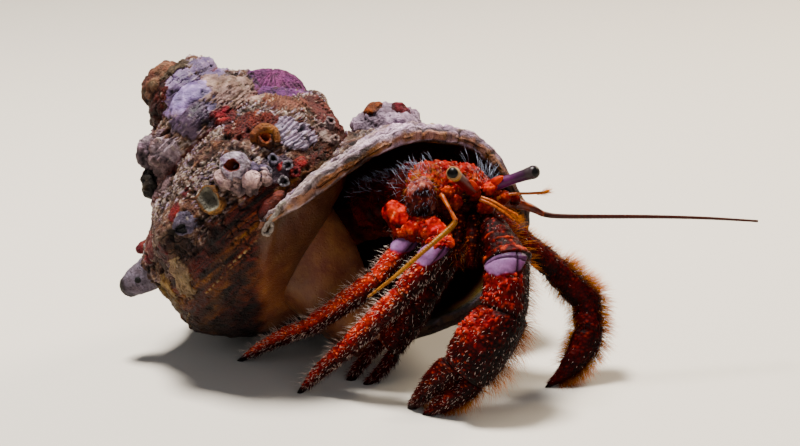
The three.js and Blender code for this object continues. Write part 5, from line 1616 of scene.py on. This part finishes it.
for side, eye in eyes.items():
    stalk, cornea = eyeParts(eye)
    placePiece("eyestalkSkin" + side, stalk, "smooth", ["eyestalk" + side])
    placePiece("eye" + side, cornea, "eye", ["cornea" + side])
print("head done")


feelers = {
    "antennaRight": {
        "stem": [(8.2, -5, 40.2), (9.5, -9, 38.8), (10.8, -11, 36.8)], "stemSizes": [0.6, 0.42, 0.36, 0.52],
        "whip": [(10.8, -11, 36.8), (9.6, -12, 35.6), (4.6, -15, 32), (-0.8, -16.7, 27.6), (-6.1, -18, 23.7)],
        "whipSizes": [0.52, 0.56, 0.48, 0.38, 0.27], "codes": ("#4c3010", "#9a6a2c", "#7a5220"),
        "stemCodes": ("#5c1c08", "#a04c18", "#b87c38"),
    },
    "antennaLeft": {
        "stem": [(18.6, -2.4, 38.6), (24.2, -1, 37), (28.6, 0, 34.7)], "stemSizes": [1.3, 1.2, 0.8, 0.6],
        "whip": [(28.6, 0, 34.7), (33, 0.9, 33.9), (50, 3.8, 32.9), (62, 6, 31.9), (73.2, 8, 30.6)],
        "whipSizes": [0.58, 0.5, 0.4, 0.32, 0.25], "codes": ("#280f0a", "#4c2416", "#341810"),
        "stemCodes": ("#240804", "#5a1c0a", "#8c4418"),
    },
}
whipRing = 0.9  # mm between the rings of the whips
for name, feeler in feelers.items():
    whipLength = np.linalg.norm(np.diff(np.array(feeler["whip"], float), axis=0), axis=1).sum()
    turns = whipLength * math.tau / whipRing

    # The whip's colours picked by a sine along it, which gives its rings.
    def whipTint(rings, s, angle):
        return blended(feeler["codes"], 0.5 + 0.25 * np.sin(s * turns) + 0.4 * layered(rings, 2, 2, 655))

    # Soft noise on the stem's share and round its axis.
    def stemRelief(s, angle):
        return 0.12 * layered(placed(s * 8, np.cos(angle), np.sin(angle)), 0.6, 2, 653)

    stem = pathTube(feeler["stem"], feeler["stemSizes"], 60, 28,
                    lambda p, s, a: mottled(feeler["stemCodes"], p, 1.2, 3, 651, 0.8), 0.12, stemRelief)
    whip = pathTube(feeler["whip"], feeler["whipSizes"], int(whipLength / 0.12), 14, whipTint, 0.3,
                    lambda s, a: 0.035 * np.sin(s * turns * 2))
    placePiece(name + "Feeler", joined([stem, whip]), "smooth",
               [name + n for n in ("Stem", "Elbow", "WhipNear", "WhipFar")])

smallFeelers = {
    "antennuleLeft": [[(19, -4.6, 39.4), (22, -5, 40.4), (25.6, -5.2, 40.6), (28.8, -5.4, 40.9)]],
    "antennuleRight": [[(15.6, -5.4, 39.4), (17.8, -6.6, 38.8), (20.2, -7.9, 37.6), (22.2, -9.2, 36.3)],
                       [(15.9, -5.2, 39.8), (18.2, -6.4, 39.3), (20.6, -7.7, 38.2), (22.9, -8.8, 37.2)]],
}
smallFeelerCodes = ("#642808", "#b4641a", "#864410")


# Colour of the small feelers: soft rings along them.
def rodTint(rings, s, angle):
    return blended(smallFeelerCodes, 0.5 + 0.3 * np.sin(s * 60) + 0.4 * layered(rings, 1, 2, 661))


for name, paths in smallFeelers.items():
    rods = [pathTube(path, [0.36, 0.29, 0.27, 0.25], 50, 14, rodTint) for path in paths]
    placePiece(name + "Rod", joined(rods), "smooth", [name])

mouthLimbs = {
    "mouthLimbRight": [(12, -3.4, 35.4), (11.1, -7, 30.6), (11.5, -8.6, 26.6)],
    "mouthLimbLeft": [(14.9, -4.2, 35.4), (14.3, -8.2, 30.8), (14, -9.8, 27.2)],
}
for k, (name, joints) in enumerate(mouthLimbs.items()):
    frames = limbFrames(joints)
    upper = armourPart(frames[0], [1.6, 1.5, 1.2], [1.6, 1.5, 1.2], 0, 0.7, 0.15, seed=670 + k, height=0.6)
    lower = armourPart(frames[1], [1.1, 0.95, 0.5], [1.1, 0.95, 0.5], 0, 0.6, 0.12, tip=True, seed=674 + k, height=0.5)
    madeLimbs[name] = {"Upper": upper, "Lower": lower}
    placePiece(name + "Armour", joined([upper, lower]), "armour", [name + "Upper", name + "Lower"])

# Pointed scales at the feet of the eyestalks: foot, point and seed.
eyeScales = [((14.6, -5, 41.2), (13.6, -7.6, 44), 681), ((17.6, -3, 41.4), (20.2, -4.6, 43.9), 683)]
eyeScaleCodes = ("#5c1006", "#a8280c", "#c8501c")
scaleParts = [spun(foot, point, [(0, 1.1), (0.5, 0.85), (0.85, 0.5), (1, 0.1)], 24, 20,
                   lambda p, s, a: blended(eyeScaleCodes, s + 0.3 * layered(p, 1, 2, seed)), 0.4)
              for foot, point, seed in eyeScales]
placePiece("ocularScales", joined(scaleParts), "armour", ["ocularScaleRight", "ocularScaleLeft"])
print("feelers done")


# How squarely a surface looks a way: the cosine, eased between low and high.
def towards(made, way, low=0.0, high=0.8):
    return ease(low, high, made["normals"] @ unit(way))


# One at every point.
def everywhere(made):
    return made["s"] * 0 + 1


# The side that looks down, to -Y and a little to +X.
def lowerSide(made):
    return towards(made, (0.3, -0.5, -0.8), -0.3, 0.6)


# The side that looks to -Y, and a little up and to -X.
def clawFace(made):
    return towards(made, (-0.2, -1, 0.2), -0.2, 0.7)


# Rows of bristles: how many grow on each mm of a piece, where, length and width in mm, how far they stand off,
# colours and what is added to the seed. A tuple gives one value for each piece of the limb.
rightLegRows = [
    (12, lambda made: towards(made, (-0.4, 0.1, 0.9), 0.2, 0.8) + 0.4, 0.55, 0.055, 0.4, "white", 0),
    (4, lambda made: towards(made, (-0.4, 0.1, 0.9), 0.2, 0.8), 2, 0.036, 0.85, "white", 6),
    (34, lambda made: lowerSide(made) + 0.1, 1.1, 0.04, 0.35, "rust", 2),
    (8, lambda made: lowerSide(made) + 0.8 * towards(made, (0, -1, 0), 0, 0.7), 0.7, 0.05, 0.5, "white", 4),
]
leftLegRows = [
    ((24, 24, 90, 90, 0), lambda made: towards(made, (0.85, 0.25, 0.4), 0.5, 0.95),
     (2, 2, 3.5, 3.5, 3.5), 0.028, 0.85, "gold", 0, 0.2),
    ((0, 0, 0, 0, 90), lambda made: towards(made, (0.73, 0.1, -0.68), 0.5, 0.95), 3.5, 0.028, 0.85, "gold", 0, 0.2),
    ((6, 6, 30, 30, 30), lambda made: towards(made, (-0.9, -0.1, -0.3), 0.6, 0.95), 2.3, 0.027, 0.85, "gold", 2),
    (90, everywhere, 0.9, 0.036, 0.35, "rust", 4),
    (2.5, everywhere, 0.5, 0.045, 0.4, "white", 6),
]
leftClawRows = [
    ((12, 12, 40, 65, 65, 65),
     lambda made: towards(made, (0.9, 0.1, -0.35), 0.35, 0.85) * towards(made, (0, 1, 0), -0.55, -0.1),
     (3.2, 3.2, 3.2, 4.4, 3.2, 3.2), 0.028, 0.85, "gold", 0),
    ((5, 5, 17, 17, 12, 12), lambda made: clawFace(made) + 0.2, 0.5, 0.042, 0.5, "white", 2),
    ((60, 60, 100, 100, 100, 100), everywhere, 0.8, 0.042, 0.35, "rust", 4),
]
limbBristles = {
    "legRightRear": (1000, rightLegRows),
    "legRightFront": (1400, rightLegRows),
    "legLeftFront": (2000, leftLegRows),
    "legLeftRear": (2400, [(12, everywhere, 1.3, 0.032, 0.55, "gold", 0),
                           (50, everywhere, 1, 0.045, 0.4, "rust", 2)]),
    "clawLeft": (3000, leftClawRows),
    "clawRight": (3400, [(12, everywhere, 0.8, 0.042, 0.5, "white", 0),
                         (70, everywhere, 1.2, 0.045, 0.4, "rust", 2)]),
}
usualBend = 0.35
for limbName, (firstSeed, rows) in limbBristles.items():
    for k, made in enumerate(madeLimbs[limbName].values()):
        for rate, where, length, width, stand, colours, seedStep, *bend in rows:
            rate, length = (value[k] if isinstance(value, tuple) else value for value in (rate, length))
            if rate:
                bristlesOn(made, limbName + "Bristles", (k, len(madeLimbs[limbName])), int(rate * made["length"]),
                           where(made), length, width, stand, colours, firstSeed + 40 * k + seedStep,
                           bend=bend[0] if bend else usualBend)

# Mouth limbs: the right one's two pieces, then the left one's.
for k, made in enumerate(part for name in mouthLimbs for part in madeLimbs[name].values()):
    seed = 3800 + 10 * (k % 2) + 30 * (k // 2)
    bristlesOn(made, "mouthBristles", (k, 4), 24, everywhere(made), 1.5, 0.03, 0.5, "gold", seed)
    bristlesOn(made, "mouthBristles", (k, 4), 260, everywhere(made), 1, 0.035, 0.5, "rust", seed + 4)

# Two tufts on the shield: centre, how wide they spread and how many; a few more grow along its rear edge.
shieldTufts = [((4, 1.5, 41.6), 2.8, 45), ((16.5, 0.5, 42), 2.6, 60)]
rearEdge = ease(0.72, 0.95, shield["s"]) * towards(shield, (0, 0, 1), -0.2, 0.5)
for k, (place, reach, count) in enumerate(shieldTufts):
    near = bell(np.linalg.norm(shield["grid"] - np.array(place), axis=-1), 0, reach) + 0.05 * rearEdge
    bristlesOn(shield, "bodyBristles", (0, 3), count, near, 3, 0.034, 0.8, "blue", 4000 + 5 * k, wild=0.45)
# The rest of the body: part, its strip of the unwrap, how many, where, length, width, stand, colours, seed, wildness.
bodyRows = [
    (shield, 0, 240, towards(shield, (-0.7, -0.6, 0.3), 0.3, 0.8), 1.1, 0.04, 0.6, "tan", 4030, 0.25),
    (shield, 0, 60, towards(shield, (0, 0, 1), 0, 0.6), 0.5, 0.045, 0.5, "white", 4004, 0.25),
    (cheek, 1, 170, towards(cheek, (-0.2, -1, 0.2), 0.1, 0.7), 0.8, 0.045, 0.5, "blue", 4010, 0.6),
    (cheek, 1, 420, towards(cheek, (-0.2, -1, 0.2), 0.75, 0.2) + 0.02, 1, 0.04, 0.6, "tan", 4014, 0.4),
    (rearBody, 2, 1800, everywhere(rearBody), 1.3, 0.05, 0.6, "rust", 4020, 0.5),
    (rearBody, 2, 150, towards(rearBody, (0, -0.3, 1), 0.3, 0.8), 2.2, 0.045, 0.7, "blue", 4024, 0.5),
]
for made, strip, count, weight, length, width, stand, colours, seed, wild in bodyRows:
    bristlesOn(made, "bodyBristles", (strip, 3), count, weight, length, width, stand, colours, seed, wild=wild)

# Tufts at the ends of the small feelers: end, direction and seed.
feelerTufts = [((28.5, -5.4, 40.9), (0.9, -0.1, 0.3), 4100), ((22.6, -9, 37), (0.75, -0.3, -0.3), 4110)]
tuftCount = 130
for root, way, seed in feelerTufts:
    rng = np.random.default_rng(seed)
    spreadWay = unit(np.array(way) + 0.45 * rng.normal(size=(tuftCount, 3)))
    roots = np.array(root) - np.array(way) * rng.uniform(0, 1.8, (tuftCount, 1))
    growBristles("feelerTufts", roots, spreadWay, np.tile(unit(way), (tuftCount, 1)),
                 rng.uniform(0.1, 0.9, (tuftCount, 2)), rng.uniform(0.8, 2, tuftCount), 0.035, 0.6, "gold", seed + 1)

for group, forms in bristleForms.items():
    placePiece(group, aboveFloor(joined(forms), 0.01), "bristle")
print("bristles done")


stageLook = {
    "floor": "#cfc8bd",
    "floorSize": 6.0,  # metres
    "floorRoughness": 0.9,
    "sky": "#dfe3ea",
    "skyStrength": 0.24,
    "target": (0, 0, 32.8),  # mm
    "distance": 0.36,
    "elevation": 18.0,
    "lens": 81.0,
    "sensor": 36.0,
}

floorMesh = bpy.data.meshes.new("floor")
half = stageLook["floorSize"] / 2
floorMesh.from_pydata([(-half, -half, 0), (half, -half, 0), (half, half, 0), (-half, half, 0)], [], [(0, 1, 2, 3)])
floor = bpy.data.objects.new("floor", floorMesh)
bpy.context.scene.collection.objects.link(floor)
floorPaint = bpy.data.materials.new("paleFloor")
floorPaint.use_nodes = True
floorShader = floorPaint.node_tree.nodes["Principled BSDF"]
feed(floorShader.inputs["Base Color"], (*paint(stageLook["floor"]), 1))
feed(floorShader.inputs["Roughness"], stageLook["floorRoughness"])
floorMesh.materials.append(floorPaint)

world = bpy.data.worlds.new("studio")
world.use_nodes = True
background = world.node_tree.nodes["Background"]
feed(background.inputs["Color"], (*paint(stageLook["sky"]), 1))
feed(background.inputs["Strength"], stageLook["skyStrength"])
bpy.context.scene.world = world

# Area lights: place and aim in metres, width, power in watts, colour.
lights = {
    "key": ((-0.12, 0.06, 0.6), (0, 0, 0.03), 0.13, 12.5, (1, 0.95, 0.88)),
    "rim": ((0.42, 0.38, 0.36), (0.02, 0, 0.02), 0.22, 5, (1, 0.84, 0.62)),
    "fill": ((0.2, -0.6, 0.3), (0, 0, 0.03), 0.6, 0.8, (0.9, 0.92, 1)),
}


# Puts a light or a camera in its place and turns its -Z axis to a target.
def aimed(thing, place, target):
    thing.location = place
    thing.rotation_euler = (Vector(target) - Vector(place)).to_track_quat("-Z", "Y").to_euler()


for name, (place, target, width, power, colour) in lights.items():
    lamp = bpy.data.lights.new(name, "AREA")
    lamp.size, lamp.energy, lamp.color = width, power, colour
    light = bpy.data.objects.new(name, lamp)
    bpy.context.scene.collection.objects.link(light)
    aimed(light, place, target)

camera = bpy.data.objects.new("camera", bpy.data.cameras.new("camera"))
bpy.context.scene.collection.objects.link(camera)
camera.data.lens = stageLook["lens"]
camera.data.sensor_width = stageLook["sensor"]
camera.data.clip_start = 0.01
tilt = math.radians(stageLook["elevation"])
aim = toRow(np.array(stageLook["target"], float))
back = stageLook["distance"]
aimed(camera, tuple(aim + np.array([0, -math.cos(tilt) * back, math.sin(tilt) * back])), tuple(aim))
bpy.context.scene.camera = camera

print("scene ready")
